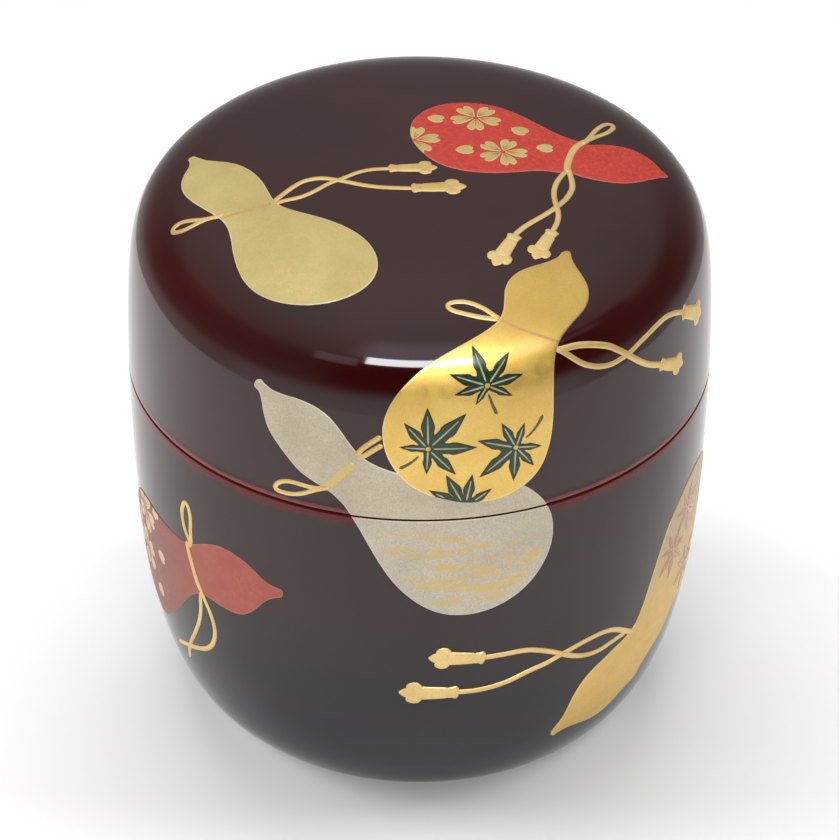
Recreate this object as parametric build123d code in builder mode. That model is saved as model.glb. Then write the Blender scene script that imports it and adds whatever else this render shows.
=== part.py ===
from build123d import *
import math
import os

os.makedirs("parts", exist_ok=True)

# A turned and lacquered tea caddy: a body with a standing rim, and a lid that
# slides down over the rim. Millimetres, +Z up, origin in the middle of the base.

# ---------------------------------------------------------------- dimensions
# Outside profile: radius of curvature (mm) at distances (mm) along the profile,
# measured from the middle of the lid's top. The log of the curvature runs
# straight between the knots, and the profile is turned as tangent arcs of it.
LAW_S = [0, 10, 18, 23, 27, 31, 35, 39, 44, 52, 60, 68, 76, 84, 90, 95, 100]
LAW_R = [173.0, 180.0, 77.4, 23.0, 15.8, 8.24, 9.67, 48.4, 183.0, 267.0,
         238.0, 276.0, 124.0, 43.4, 27.0, 10.7, 11.4]
ARC_ENDS = [0, 6, 12, 16, 19, 21.5, 24, 26, 28, 30, 32, 34, 36, 38, 40.5, 44, 48, 52.09,
            56, 61, 66, 71, 76, 80, 84, 87, 90, 92.5, 95, 97.2, 99.3, 106]
SEAM_S = 52.09            # where the lid ends, along the profile
FOOT_S = 99.3             # where the foot's rounding begins, along the profile
FOOT_ROUND = 1.2          # radius of the foot's lower edge

COAT = 0.30               # outer lacquer coat
INNER_COAT = 0.25         # inner lacquer coat

LID_MOUTH_R = 30.90       # inside radius of the lid's mouth, lacquered
LID_STRAIGHT = 10.2       # straight part of the lid's inside wall
LID_TOP_WALL = 3.0        # lid thickness at the middle
LID_SIDE_WALL = 1.85      # lid thickness at the top of the straight part

RIM_OUT_R = 30.75         # standing rim, outside radius, lacquered
RIM_IN_R = 29.05          # standing rim and chamber, inside radius, lacquered
RIM_HEIGHT = 9.6          # standing rim above the seam
RIM_ROUND = 0.55          # rounding of the rim's top edge

FLOOR_WALL = 5.3          # body thickness measured square to the surface at the base
BASE_LAND_R = 19.6        # the base stands on the ring outside this radius
BASE_RECESS = 0.60        # depth of the recess in the base


RELIEF = 0.10             # height of the raised decoration above the lacquer

# Gourds of the decoration, as closed outlines laid on the outer surface: the place of
# the bulb's middle (mm along the profile, degrees round the axis from the front), then
# points of a smooth closed curve, as mm down the profile and mm to the right of there.
GOURDS = {
    "pale_gold": (22.4, -35.2, [
        (-9.48, -23.13), (-10.12, -22.90), (-9.94, -21.92), (-9.70, -20.65), (-9.78, -19.17), (-10.03, -17.53), (-10.04, -15.68), (-9.52, -13.58),
        (-8.49, -11.47), (-7.26, -9.69), (-6.29, -8.27), (-5.81, -6.97), (-5.76, -5.33), (-5.99, -3.31), (-6.25, -1.09), (-6.27, 1.31),
        (-5.91, 3.64), (-5.04, 5.83), (-3.60, 7.66), (-1.83, 8.75), (0.01, 8.98), (1.87, 8.37), (3.62, 7.02), (5.06, 5.09),
        (6.00, 2.83), (6.41, 0.49), (6.25, -1.71), (5.50, -3.72), (4.22, -5.54), (2.70, -7.15), (1.24, -8.50), (-0.04, -9.86),
        (-0.92, -11.31), (-1.48, -13.01), (-2.04, -15.09), (-2.75, -17.29), (-3.74, -19.24), (-5.08, -20.69), (-6.61, -21.48), (-7.95, -21.86),
        (-8.85, -22.36)]),
    "red_blossom": (7.6, 121.3, [
        (-6.08, 4.74), (-5.05, 6.10), (-3.63, 7.18), (-1.86, 7.93), (0.05, 8.09), (1.92, 7.61), (3.56, 6.61), (4.99, 5.30),
        (6.03, 3.60), (6.75, 1.73), (7.30, -0.15), (7.79, -1.88), (8.32, -3.39), (9.00, -4.63), (9.73, -5.56), (10.51, -6.55),
        (12.06, -6.96), (13.64, -7.56), (15.01, -8.44), (16.02, -9.64), (16.55, -10.98), (16.71, -12.24), (17.03, -13.36), (15.35, -13.76),
        (13.59, -14.17), (11.71, -14.49), (9.74, -14.37), (8.07, -13.71), (6.80, -12.80), (5.82, -11.89), (5.15, -10.95), (3.99, -10.36),
        (2.74, -9.49), (1.09, -8.79), (-0.79, -8.19), (-2.56, -7.46), (-4.14, -6.51), (-5.50, -5.36), (-6.54, -3.95), (-7.20, -2.24),
        (-7.40, -0.14), (-7.20, 1.87), (-6.76, 3.43)]),
    "gold_maple": (41.4, 9.8, [
        (-19.47, 13.25), (-19.94, 13.86), (-20.04, 14.52), (-19.73, 14.99), (-18.61, 14.89), (-17.34, 15.08), (-15.94, 15.46), (-14.43, 15.66),
        (-13.02, 15.29), (-12.00, 14.43), (-11.22, 13.22), (-10.46, 11.95), (-9.64, 10.90), (-8.67, 10.13), (-7.42, 9.62), (-5.80, 9.37),
        (-3.76, 9.28), (-1.39, 9.25), (1.01, 9.10), (3.19, 8.69), (5.15, 7.94), (6.65, 6.77), (7.70, 5.13), (8.40, 3.22),
        (8.56, 1.11), (8.42, -0.91), (7.81, -2.95), (7.09, -4.89), (6.01, -6.51), (4.57, -7.81), (2.75, -8.81), (0.71, -9.36),
        (-1.40, -9.40), (-3.33, -8.89), (-5.08, -7.96), (-6.67, -6.65), (-8.04, -5.11), (-9.15, -3.34), (-10.08, -1.41), (-10.90, 0.51),
        (-11.72, 2.34), (-12.58, 3.77), (-13.68, 4.62), (-14.95, 5.04), (-16.23, 5.44), (-17.44, 6.29), (-18.31, 7.62), (-18.74, 9.25),
        (-18.94, 10.90), (-19.16, 12.28)]),
    "silver": (56.1, 10.6, [
        (-18.00, -24.81), (-18.54, -24.50), (-18.71, -23.99), (-18.27, -23.34), (-17.92, -22.49), (-17.77, -21.11), (-17.67, -19.17), (-17.16, -17.21),
        (-16.19, -15.71), (-14.85, -14.55), (-13.37, -13.52), (-12.18, -12.54), (-11.29, -11.32), (-10.55, -9.66), (-9.97, -7.40), (-9.64, -4.57),
        (-9.42, -1.40), (-8.98, 1.67), (-8.21, 4.00), (-7.17, 5.69), (-5.84, 7.06), (-4.29, 8.12), (-2.65, 8.79), (-0.79, 9.09),
        (1.40, 8.92), (3.56, 8.19), (5.56, 6.95), (7.22, 5.24), (8.44, 3.10), (9.11, 0.92), (9.26, -1.14), (8.92, -3.25),
        (7.95, -5.27), (6.36, -7.19), (4.35, -8.88), (2.09, -10.25), (-0.13, -11.38), (-2.06, -12.34), (-3.70, -13.21), (-5.15, -14.11),
        (-6.26, -15.18), (-7.05, -16.35), (-7.71, -17.71), (-8.56, -19.20), (-9.85, -20.54), (-11.35, -21.86), (-12.90, -22.98), (-14.58, -23.57),
        (-16.06, -23.86), (-17.16, -24.21), (-17.53, -24.74)]),
    "red_side": (70.8, -69.9, [
        (-5.72, 0.34), (-5.71, 2.75), (-5.64, 5.00), (-5.59, 7.10), (-5.63, 8.85), (-5.92, 10.45), (-6.74, 12.19), (-7.73, 13.99),
        (-8.38, 15.70), (-8.53, 17.33), (-8.29, 18.76), (-7.83, 19.99), (-7.20, 21.02), (-6.54, 21.91), (-6.04, 22.78), (-5.82, 23.67),
        (-5.68, 24.46), (-5.23, 24.61), (-4.58, 24.37), (-4.21, 23.55), (-3.70, 22.67), (-2.77, 21.71), (-1.64, 20.75), (-0.59, 19.69),
        (0.12, 18.49), (0.38, 17.19), (0.37, 15.83), (0.27, 14.45), (0.23, 13.11), (0.58, 11.70), (1.78, 10.08), (3.49, 8.53),
        (5.26, 7.11), (7.16, 5.35), (9.09, 3.08), (10.77, 0.64), (9.97, -2.29), (8.34, -5.00), (5.82, -6.90), (2.60, -7.68),
        (-0.68, -7.02), (-3.38, -5.08), (-5.07, -2.44)]),
    "gold_side": (68.5, 68.9, [
        (-7.36, -0.55), (-6.66, -2.17), (-5.65, -3.73), (-4.41, -5.11), (-2.91, -6.19), (-1.14, -7.07), (0.71, -7.82), (2.61, -8.49),
        (4.45, -9.11), (5.94, -9.67), (7.13, -10.25), (7.98, -11.15), (8.60, -12.39), (9.13, -13.75), (9.81, -15.05), (10.53, -16.27),
        (11.39, -17.28), (12.49, -18.11), (13.97, -18.72), (15.60, -19.09), (17.16, -19.38), (18.43, -19.79), (19.49, -20.23), (20.21, -20.12),
        (20.66, -19.60), (20.22, -19.01), (19.94, -18.07), (20.00, -16.57), (20.28, -14.74), (20.29, -13.00), (19.80, -11.62), (18.99, -10.35),
        (18.10, -9.00), (17.59, -7.33), (16.09, -6.47), (14.99, -5.32), (14.16, -3.89), (13.18, -2.54), (12.00, -1.29), (10.69, -0.10),
        (10.19, 4.23), (8.39, 7.78), (5.30, 10.15), (1.50, 11.00), (-2.30, 10.15), (-5.39, 7.78), (-7.22, 4.51), (-7.70, 1.54)]),
}


# ---------------------------------------------------------------- the profile
def log_curvature(s):
    if s >= LAW_S[-1]:
        return -math.log(LAW_R[-1])
    for i in range(len(LAW_S) - 1):
        if s <= LAW_S[i + 1]:
            f = (s - LAW_S[i]) / (LAW_S[i + 1] - LAW_S[i])
            return -(math.log(LAW_R[i]) * (1 - f) + math.log(LAW_R[i + 1]) * f)
    return -math.log(LAW_R[-1])


# each arc: start distance, curvature, and radius, drop below the lid's top and
# slope angle at its start
ARCS = []
at = (0.0, 0.0, 0.0)
for s0, s1 in zip(ARC_ENDS, ARC_ENDS[1:]):
    k = sum(math.exp(log_curvature(s0 + (s1 - s0) * (i + 0.5) / 20)) for i in range(20)) / 20
    ARCS.append((s0, k) + at)
    a = at[2] + k * (s1 - s0)
    at = (at[0] + (math.sin(a) - math.sin(at[2])) / k,
          at[1] + (math.cos(at[2]) - math.cos(a)) / k, a)


def profile(s):
    """Radius, drop below the lid's top and slope angle at distance s."""
    s0, k, r, d, a0 = next(arc for arc in reversed(ARCS) if arc[0] <= s)
    a = a0 + k * (s - s0)
    return (r + (math.sin(a) - math.sin(a0)) / k, d + (math.cos(a0) - math.cos(a)) / k, a)


foot_r, foot_drop, foot_a = profile(FOOT_S)
HEIGHT = foot_drop + FOOT_ROUND * (1 + math.cos(foot_a))
SEAM_R = profile(SEAM_S)[0]
SEAM_Z = HEIGHT - profile(SEAM_S)[1]
BASE_R = foot_r - FOOT_ROUND * math.sin(foot_a)
foot_arc_mid_a = (foot_a + math.pi) / 2


def skin(s, depth):
    """Point of the section (radius, height), depth mm inside the outer surface."""
    r, d, a = profile(s)
    return (r - depth * math.sin(a), HEIGHT - d - depth * math.cos(a))


def span(s_from, s_to, spacing=1.6):
    n = max(2, round(abs(s_to - s_from) / spacing))
    return [s_from + (s_to - s_from) * i / n for i in range(n + 1)]


def lid_depth(s):
    """Lid thickness, square to the outer surface, on the domed part."""
    return LID_TOP_WALL - (LID_TOP_WALL - LID_SIDE_WALL) * (s / 42.0) ** 2


def body_depth(s):
    """Body thickness, square to the outer surface, below the rim."""
    t = min(1.0, max(0.0, (s - 80.0) / 24.0))
    side = SEAM_R - RIM_IN_R
    return side + (FLOOR_WALL - side) * t * t * (3 - 2 * t)


# distance along the profile at which the body's inside has turned level
FLOOR_S = LAW_S[-1]
while profile(FLOOR_S)[2] < math.pi:
    FLOOR_S += 0.01

RIM_TOP = SEAM_Z + RIM_HEIGHT
LID_STRAIGHT_TOP = SEAM_Z + LID_STRAIGHT


def lid_inside(extra):
    """Section points of the lid's inside dome, from the axis to the straight part,
    extra mm deeper into the wall."""
    pts = [(skin(s, lid_depth(s) - extra)) for s in span(0.0, 40.4)]
    return pts + [(LID_MOUTH_R + extra, LID_STRAIGHT_TOP)]


def body_inside(extra):
    """Section points of the chamber, from the floor's edge up to the straight part."""
    pts = [skin(s, body_depth(s) - extra) for s in span(FLOOR_S, 60.0)]
    return pts + [(RIM_IN_R + extra, SEAM_Z - 4.0)]


def arcs(s_from, s_to, depth):
    """Draws the tangent arcs of the section between two distances, depth mm inside
    the outer surface, in either direction."""
    ends = [s for s in ARC_ENDS if min(s_from, s_to) < s < max(s_from, s_to)]
    ends = [min(s_from, s_to)] + ends + [max(s_from, s_to)]
    if s_from > s_to:
        ends.reverse()
    for s0, s1 in zip(ends, ends[1:]):
        ThreePointArc(skin(s0, depth), skin((s0 + s1) / 2, depth), skin(s1, depth))


# ---------------------------------------------------------------- lid, lacquer outside
with BuildPart() as lid_outer_lacquer:
    with BuildSketch(Plane.XZ):
        with BuildLine():
            arcs(0, SEAM_S, 0)
            Line(skin(SEAM_S, 0), skin(SEAM_S, COAT))
            arcs(SEAM_S, 0, COAT)
            Line(skin(0, COAT), skin(0, 0))
        make_face()
    revolve(axis=Axis.Z)
lid_outer_lacquer.part.label = "lid_outer_lacquer"

# ---------------------------------------------------------------- lid, wood
lid_core_inside = lid_inside(INNER_COAT)
with BuildPart() as lid_core:
    with BuildSketch(Plane.XZ):
        with BuildLine():
            arcs(0, SEAM_S, COAT)
            Polyline(skin(SEAM_S, COAT), (LID_MOUTH_R + INNER_COAT, SEAM_Z), lid_core_inside[-1])
            Spline(*lid_core_inside[::-1], tangents=[(0, 1), (-1, 0)])
            Line(lid_core_inside[0], skin(0, COAT))
        make_face()
    revolve(axis=Axis.Z)
    # the mouth edge stands back by the thickness of its lacquer
    with BuildSketch(Plane.XY.offset(SEAM_Z - 0.1)):
        Circle(SEAM_R + 2)
    extrude(amount=INNER_COAT + 0.1, mode=Mode.SUBTRACT)
lid_core.part.label = "lid_core"

# ---------------------------------------------------------------- lid, lacquer inside
lid_face = lid_inside(0.0)
with BuildPart() as lid_inner_lacquer:
    with BuildSketch(Plane.XZ):
        with BuildLine():
            Spline(*lid_core_inside, tangents=[(1, 0), (0, -1)])
            Polyline(lid_core_inside[-1],
                     (LID_MOUTH_R + INNER_COAT, SEAM_Z),
                     (LID_MOUTH_R, SEAM_Z),
                     lid_face[-1])
            Spline(*lid_face[::-1], tangents=[(0, 1), (-1, 0)])
            Line(lid_face[0], lid_core_inside[0])
        make_face()
    revolve(axis=Axis.Z)
    # the lacquer of the mouth edge, up to the outer coat
    with BuildSketch(Plane.XY.offset(SEAM_Z)):
        Circle(SEAM_R - COAT - 0.002)
        Circle(LID_MOUTH_R + INNER_COAT / 2, mode=Mode.SUBTRACT)
    extrude(amount=INNER_COAT)
    fillet(lid_inner_lacquer.edges().filter_by(GeomType.CIRCLE)
           .group_by(Axis.Z)[0].sort_by(SortBy.RADIUS)[0], radius=0.12)
lid_inner_lacquer.part.label = "lid_inner_lacquer"

# ---------------------------------------------------------------- body, lacquer outside
with BuildPart() as body_outer_lacquer:
    with BuildSketch(Plane.XZ):
        with BuildLine():
            arcs(SEAM_S, FOOT_S, 0)
            Line(skin(FOOT_S, 0), skin(FOOT_S, COAT))
            arcs(FOOT_S, SEAM_S, COAT)
            Line(skin(SEAM_S, COAT), skin(SEAM_S, 0))
        make_face()
    revolve(axis=Axis.Z)
body_outer_lacquer.part.label = "body_outer_lacquer"

# ---------------------------------------------------------------- body, wood
foot_outer = skin(FOOT_S, 0.0)
foot_under = skin(FOOT_S, COAT)
foot_centre = (foot_r - FOOT_ROUND * math.sin(foot_a), FOOT_ROUND)
foot_mid_dir = (math.sin(foot_arc_mid_a), math.cos(foot_arc_mid_a))
foot_outer_mid = (foot_centre[0] + FOOT_ROUND * foot_mid_dir[0],
                  foot_centre[1] + FOOT_ROUND * foot_mid_dir[1])
foot_under_mid = (foot_centre[0] + (FOOT_ROUND - COAT) * foot_mid_dir[0],
                  foot_centre[1] + (FOOT_ROUND - COAT) * foot_mid_dir[1])
foot_outer_end = (foot_centre[0], 0.0)
foot_under_end = (foot_centre[0], COAT)
chamber = body_inside(INNER_COAT)
with BuildPart() as body_core:
    with BuildSketch(Plane.XZ):
        with BuildLine():
            arcs(SEAM_S, FOOT_S, COAT)
            ThreePointArc(foot_under, foot_under_mid, foot_under_end)
            Polyline(foot_under_end,
                     (BASE_LAND_R + COAT, COAT),
                     (BASE_LAND_R - BASE_RECESS, COAT + BASE_RECESS),
                     (0, COAT + BASE_RECESS),
                     (0, chamber[0][1]),
                     chamber[0])
            Spline(*chamber, tangents=[(1, 0), (0, 1)])
            Polyline(chamber[-1],
                     (RIM_IN_R + INNER_COAT, RIM_TOP - INNER_COAT),
                     (RIM_OUT_R - INNER_COAT, RIM_TOP - INNER_COAT),
                     (RIM_OUT_R - INNER_COAT, SEAM_Z - INNER_COAT),
                     (SEAM_R - COAT - 1.0, SEAM_Z - INNER_COAT),
                     (SEAM_R - COAT - 1.0, SEAM_Z),
                     skin(SEAM_S, COAT))
        make_face()
    revolve(axis=Axis.Z)
    # the seat stands back by the thickness of its lacquer
    with BuildSketch(Plane.XY.offset(SEAM_Z - INNER_COAT)):
        Circle(SEAM_R + 2)
        Circle(RIM_OUT_R - INNER_COAT, mode=Mode.SUBTRACT)
    extrude(amount=INNER_COAT + 0.01, mode=Mode.SUBTRACT)
    fillet(body_core.edges().filter_by(GeomType.CIRCLE).group_by(Axis.Z)[-1],
           radius=RIM_ROUND - INNER_COAT)
body_core.part.label = "body_core"

# ---------------------------------------------------------------- body, lacquer inside
chamber_face = body_inside(0.0)
with BuildPart() as body_inner_lacquer:
    with BuildSketch(Plane.XZ):
        with BuildLine():
            Polyline((0, chamber[0][1]), (0, chamber_face[0][1]), chamber_face[0])
            Spline(*chamber_face, tangents=[(1, 0), (0, 1)])
            Polyline(chamber_face[-1],
                     (RIM_IN_R, RIM_TOP - RIM_ROUND))
            RadiusArc((RIM_IN_R, RIM_TOP - RIM_ROUND), (RIM_IN_R + RIM_ROUND, RIM_TOP),
                      RIM_ROUND)
            Line((RIM_IN_R + RIM_ROUND, RIM_TOP), (RIM_OUT_R - RIM_ROUND, RIM_TOP))
            RadiusArc((RIM_OUT_R - RIM_ROUND, RIM_TOP), (RIM_OUT_R, RIM_TOP - RIM_ROUND),
                      RIM_ROUND)
            Polyline((RIM_OUT_R, RIM_TOP - RIM_ROUND),
                     (RIM_OUT_R, SEAM_Z),
                     (SEAM_R - COAT - 0.002, SEAM_Z),
                     (SEAM_R - COAT - 0.002, SEAM_Z - INNER_COAT),
                     (RIM_OUT_R - INNER_COAT, SEAM_Z - INNER_COAT),
                     (RIM_OUT_R - INNER_COAT, RIM_TOP - RIM_ROUND))
            RadiusArc((RIM_OUT_R - INNER_COAT, RIM_TOP - RIM_ROUND),
                      (RIM_OUT_R - RIM_ROUND, RIM_TOP - INNER_COAT),
                      -(RIM_ROUND - INNER_COAT))
            Line((RIM_OUT_R - RIM_ROUND, RIM_TOP - INNER_COAT),
                 (RIM_IN_R + RIM_ROUND, RIM_TOP - INNER_COAT))
            RadiusArc((RIM_IN_R + RIM_ROUND, RIM_TOP - INNER_COAT),
                      (RIM_IN_R + INNER_COAT, RIM_TOP - RIM_ROUND),
                      -(RIM_ROUND - INNER_COAT))
            Line((RIM_IN_R + INNER_COAT, RIM_TOP - RIM_ROUND), chamber[-1])
            Spline(*chamber[::-1], tangents=[(0, -1), (-1, 0)])
            Line(chamber[0], (0, chamber[0][1]))
        make_face()
    revolve(axis=Axis.Z)
body_inner_lacquer.part.label = "body_inner_lacquer"

# ---------------------------------------------------------------- base, lacquer
with BuildPart() as base_lacquer:
    with BuildSketch(Plane.XZ):
        with BuildLine():
            ThreePointArc(foot_outer, foot_outer_mid, foot_outer_end)
            Polyline(foot_outer_end,
                     (BASE_LAND_R, 0),
                     (BASE_LAND_R - BASE_RECESS, BASE_RECESS),
                     (0, BASE_RECESS),
                     (0, COAT + BASE_RECESS),
                     (BASE_LAND_R - BASE_RECESS, COAT + BASE_RECESS),
                     (BASE_LAND_R + COAT, COAT),
                     foot_under_end)
            ThreePointArc(foot_under_end, foot_under_mid, foot_under)
            Line(foot_under, foot_outer)
        make_face()
    revolve(axis=Axis.Z)
base_lacquer.part.label = "base_lacquer"



# ---------------------------------------------------------------- raised decoration
def on_surface(p, s):
    """Nearest surface point to p, starting near profile distance s, and its normal."""
    for _ in range(3):
        r, d, a = profile(s)
        s += (math.hypot(p.X, p.Y) - r) * math.cos(a) - (p.Z - HEIGHT + d) * math.sin(a)
        s = min(max(s, 0.0), 104.0)
    r, d, a = profile(s)
    out = Vector(p.X, p.Y, 0)
    out = out.normalized() if out.length > 1e-9 else Vector(1, 0, 0)
    return out * r + Vector(0, 0, HEIGHT - d), s, out * math.sin(a) + Vector(0, 0, math.cos(a))


def laid(s0, turn, u, v, steps=16):
    """Point reached from (s0, turn) by going straight over the surface, u mm down
    the profile and v mm to the right."""
    t = math.radians(turn)
    out, side = Vector(math.sin(t), -math.cos(t), 0), Vector(math.cos(t), math.sin(t), 0)
    r, d, a = profile(s0)
    down = out * math.cos(a) - Vector(0, 0, math.sin(a))
    p, s = out * r + Vector(0, 0, HEIGHT - d), s0
    length = math.hypot(u, v)
    if length < 1e-9:
        return p
    way = down * (u / length) + side * (v / length)
    for _ in range(steps):
        h = length / steps
        q, s, n = on_surface(p + way * (h / 2), s)
        way = (way - n * way.dot(n)).normalized()
        p, s, n = on_surface(p + way * h, s)
        way = (way - n * way.dot(n)).normalized()
    return p


def gourd_plane_and_points(name):
    """The outline laid on the surface, flattened on a plane square to the surface
    near its middle."""
    s0, turn, outline = GOURDS[name]
    laid_pts = [laid(s0, turn, u, v) for u, v in outline]
    middle = sum(laid_pts, Vector(0, 0, 0)) / len(laid_pts)
    s = 30.0 if middle.Z > HEIGHT - 8 else 52.0
    foot, s, normal = on_surface(middle, s)
    plane = Plane(origin=foot, x_dir=Vector(-foot.Y, foot.X, 0), z_dir=normal)
    flat = [plane.to_local_coords(p) for p in laid_pts]
    return plane, [(p.X, p.Y) for p in flat]


gourd_parts = []
for node, row_name, on_lid, under in (
        ("gourd_pale_gold", "pale_gold", True, None),
        ("gourd_red_blossom", "red_blossom", True, None),
        ("gourd_gold_maple", "gold_maple", True, None),
        ("gourd_silver_lid", "silver", True, "gold_maple"),
        ("gourd_silver_body", "silver", False, None),
        ("gourd_red_side", "red_side", False, None),
        ("gourd_gold_side", "gold_side", False, None)):
    plane, outline = gourd_plane_and_points(row_name)
    with BuildPart() as gourd:
        with BuildSketch(plane):
            with BuildLine():
                Spline(*outline, periodic=True)
            make_face()
        extrude(amount=16, both=True)
        with BuildSketch(Plane.XZ):
            with BuildLine():
                s_from, s_to = (0, SEAM_S) if on_lid else (SEAM_S, FOOT_S)
                arcs(s_from, s_to, 0)
                Line(skin(s_to, 0), skin(s_to, -RELIEF))
                arcs(s_to, s_from, -RELIEF)
                Line(skin(s_from, -RELIEF), skin(s_from, 0))
            make_face()
        revolve(axis=Axis.Z, mode=Mode.INTERSECT)
        if under:
            # the upper gourd lies over this one
            top_plane, top_outline = gourd_plane_and_points(under)
            with BuildSketch(top_plane):
                with BuildLine():
                    Spline(*top_outline, periodic=True)
                make_face()
            extrude(amount=16, both=True, mode=Mode.SUBTRACT)
    gourd.part.label = node
    print(node, "solids", len(gourd.part.solids()), [round(x.volume, 2) for x in gourd.part.solids()])
    gourd_parts.append(gourd)

print(f"height {HEIGHT:.2f}  seam z {SEAM_Z:.2f}  seam r {SEAM_R:.3f}  base r {BASE_R:.2f}"
      f"  rim top {RIM_TOP:.2f}  floor {chamber_face[0][1]:.2f} at r {chamber_face[0][0]:.2f}")

for piece in (lid_outer_lacquer, lid_core, lid_inner_lacquer, body_outer_lacquer,
              body_core, body_inner_lacquer, base_lacquer, *gourd_parts):
    export_step(piece.part, f"parts/{piece.part.label}.step")
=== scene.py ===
import math

import bpy
import numpy as np
from mathutils import Matrix, Vector
from mathutils.geometry import delaunay_2d_cdt


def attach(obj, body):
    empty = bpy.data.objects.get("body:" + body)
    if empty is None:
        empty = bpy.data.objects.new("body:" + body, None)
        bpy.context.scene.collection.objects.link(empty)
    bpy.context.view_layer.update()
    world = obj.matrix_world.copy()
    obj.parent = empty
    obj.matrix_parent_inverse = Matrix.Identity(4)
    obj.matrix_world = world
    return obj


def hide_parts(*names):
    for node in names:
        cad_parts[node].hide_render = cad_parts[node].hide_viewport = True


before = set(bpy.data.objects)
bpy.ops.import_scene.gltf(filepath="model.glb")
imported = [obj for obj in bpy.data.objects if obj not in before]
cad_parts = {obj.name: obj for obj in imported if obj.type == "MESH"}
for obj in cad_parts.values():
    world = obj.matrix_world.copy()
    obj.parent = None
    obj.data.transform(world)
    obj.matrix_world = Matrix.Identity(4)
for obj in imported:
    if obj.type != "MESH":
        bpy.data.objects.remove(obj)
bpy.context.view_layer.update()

# A lacquered tea caddy with gold, silver and red gourds laid on it in thin relief.
# Shapes are worked out in millimetres, +Z up, and written to the meshes in metres.
scene = bpy.context.scene
MM = 0.001

# ================================================================ the turned profile
# The same tangent arcs as the solid model: curvature against distance along the
# outside, from the middle of the lid's top.
LAW_S = [0, 10, 18, 23, 27, 31, 35, 39, 44, 52, 60, 68, 76, 84, 90, 95, 100]
LAW_R = [173.0, 180.0, 77.4, 23.0, 15.8, 8.24, 9.67, 48.4, 183.0, 267.0,
         238.0, 276.0, 124.0, 43.4, 27.0, 10.7, 11.4]
ARC_ENDS = [0, 6, 12, 16, 19, 21.5, 24, 26, 28, 30, 32, 34, 36, 38, 40.5, 44, 48, 52.09,
            56, 61, 66, 71, 76, 80, 84, 87, 90, 92.5, 95, 97.2, 99.3, 106]
SEAM_S = 52.09
FOOT_S = 99.3
FOOT_ROUND = 1.2
COAT = 0.30
INNER_COAT = 0.25
LID_MOUTH_R = 30.90
LID_STRAIGHT = 10.2
LID_TOP_WALL = 3.0
LID_SIDE_WALL = 1.85
RIM_OUT_R = 30.75
RIM_IN_R = 29.05
RIM_HEIGHT = 9.6
RIM_ROUND = 0.55
FLOOR_WALL = 5.3
BASE_LAND_R = 19.6
BASE_RECESS = 0.60
SEAM_ROUND = 0.28         # rounding of the two lacquer edges that meet at the seam
SEAM_WRAP = 30            # degrees that the decoration follows that rounding


def log_curvature(s):
    return -np.interp(s, LAW_S, np.log(LAW_R))


rows = []
r_, d_, a_ = 0.0, 0.0, 0.0
for s0, s1 in zip(ARC_ENDS, ARC_ENDS[1:]):
    k = float(np.mean(np.exp(log_curvature(s0 + (s1 - s0) * (np.arange(20) + 0.5) / 20))))
    rows.append((s0, k, r_, d_, a_))
    b = a_ + k * (s1 - s0)
    r_, d_, a_ = r_ + (math.sin(b) - math.sin(a_)) / k, d_ + (math.cos(a_) - math.cos(b)) / k, b
ARC_S, ARC_K, ARC_R, ARC_D, ARC_A = np.array(rows).T
HEIGHT = 0.0


def profile(s):
    """Radius, height and slope angle at distance s along the outside."""
    s = np.clip(np.asarray(s, float), 0.0, 105.9)
    i = np.searchsorted(ARC_S, s, side="right") - 1
    a = ARC_A[i] + ARC_K[i] * (s - ARC_S[i])
    return (ARC_R[i] + (np.sin(a) - np.sin(ARC_A[i])) / ARC_K[i],
            HEIGHT - ARC_D[i] - (np.cos(ARC_A[i]) - np.cos(a)) / ARC_K[i], a)


foot_r, foot_z, foot_a = (float(v) for v in profile(FOOT_S))
HEIGHT = -foot_z + FOOT_ROUND * (1 + math.cos(foot_a))
SEAM_R, SEAM_Z = (float(v) for v in profile(SEAM_S)[:2])
RIM_TOP = SEAM_Z + RIM_HEIGHT
LID_STRAIGHT_TOP = SEAM_Z + LID_STRAIGHT


def skin(s, depth):
    r, z, a = profile(s)
    return float(r - depth * math.sin(a)), float(z - depth * math.cos(a))


def lid_depth(s):
    return LID_TOP_WALL - (LID_TOP_WALL - LID_SIDE_WALL) * (s / 42.0) ** 2


def body_depth(s):
    t = min(1.0, max(0.0, (s - 80.0) / 24.0))
    side = SEAM_R - RIM_IN_R
    return side + (FLOOR_WALL - side) * t * t * (3 - 2 * t)


FLOOR_S = 100.0
while profile(FLOOR_S)[2] < math.pi:
    FLOOR_S += 0.01


def steps(a, b, spacing):
    n = max(2, round(abs(b - a) / spacing))
    return [a + (b - a) * i / n for i in range(n + 1)]


def hermite(p0, m0, p1, m1, n):
    """Points of a smooth curve from p0 to p1 with the given end slopes."""
    out = []
    for i in range(n + 1):
        t = i / n
        h = (2 * t ** 3 - 3 * t ** 2 + 1, t ** 3 - 2 * t ** 2 + t, -2 * t ** 3 + 3 * t ** 2, t ** 3 - t ** 2)
        out.append(tuple(h[0] * p0[j] + h[1] * m0[j] + h[2] * p1[j] + h[3] * m1[j] for j in range(2)))
    return out


def corner(centre, radius, a0, a1, n=8):
    """Points of a rounded corner, angles in degrees from +r towards +z."""
    return [(centre[0] + radius * math.cos(math.radians(a0 + (a1 - a0) * i / n)),
             centre[1] + radius * math.sin(math.radians(a0 + (a1 - a0) * i / n))) for i in range(n + 1)]


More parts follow.
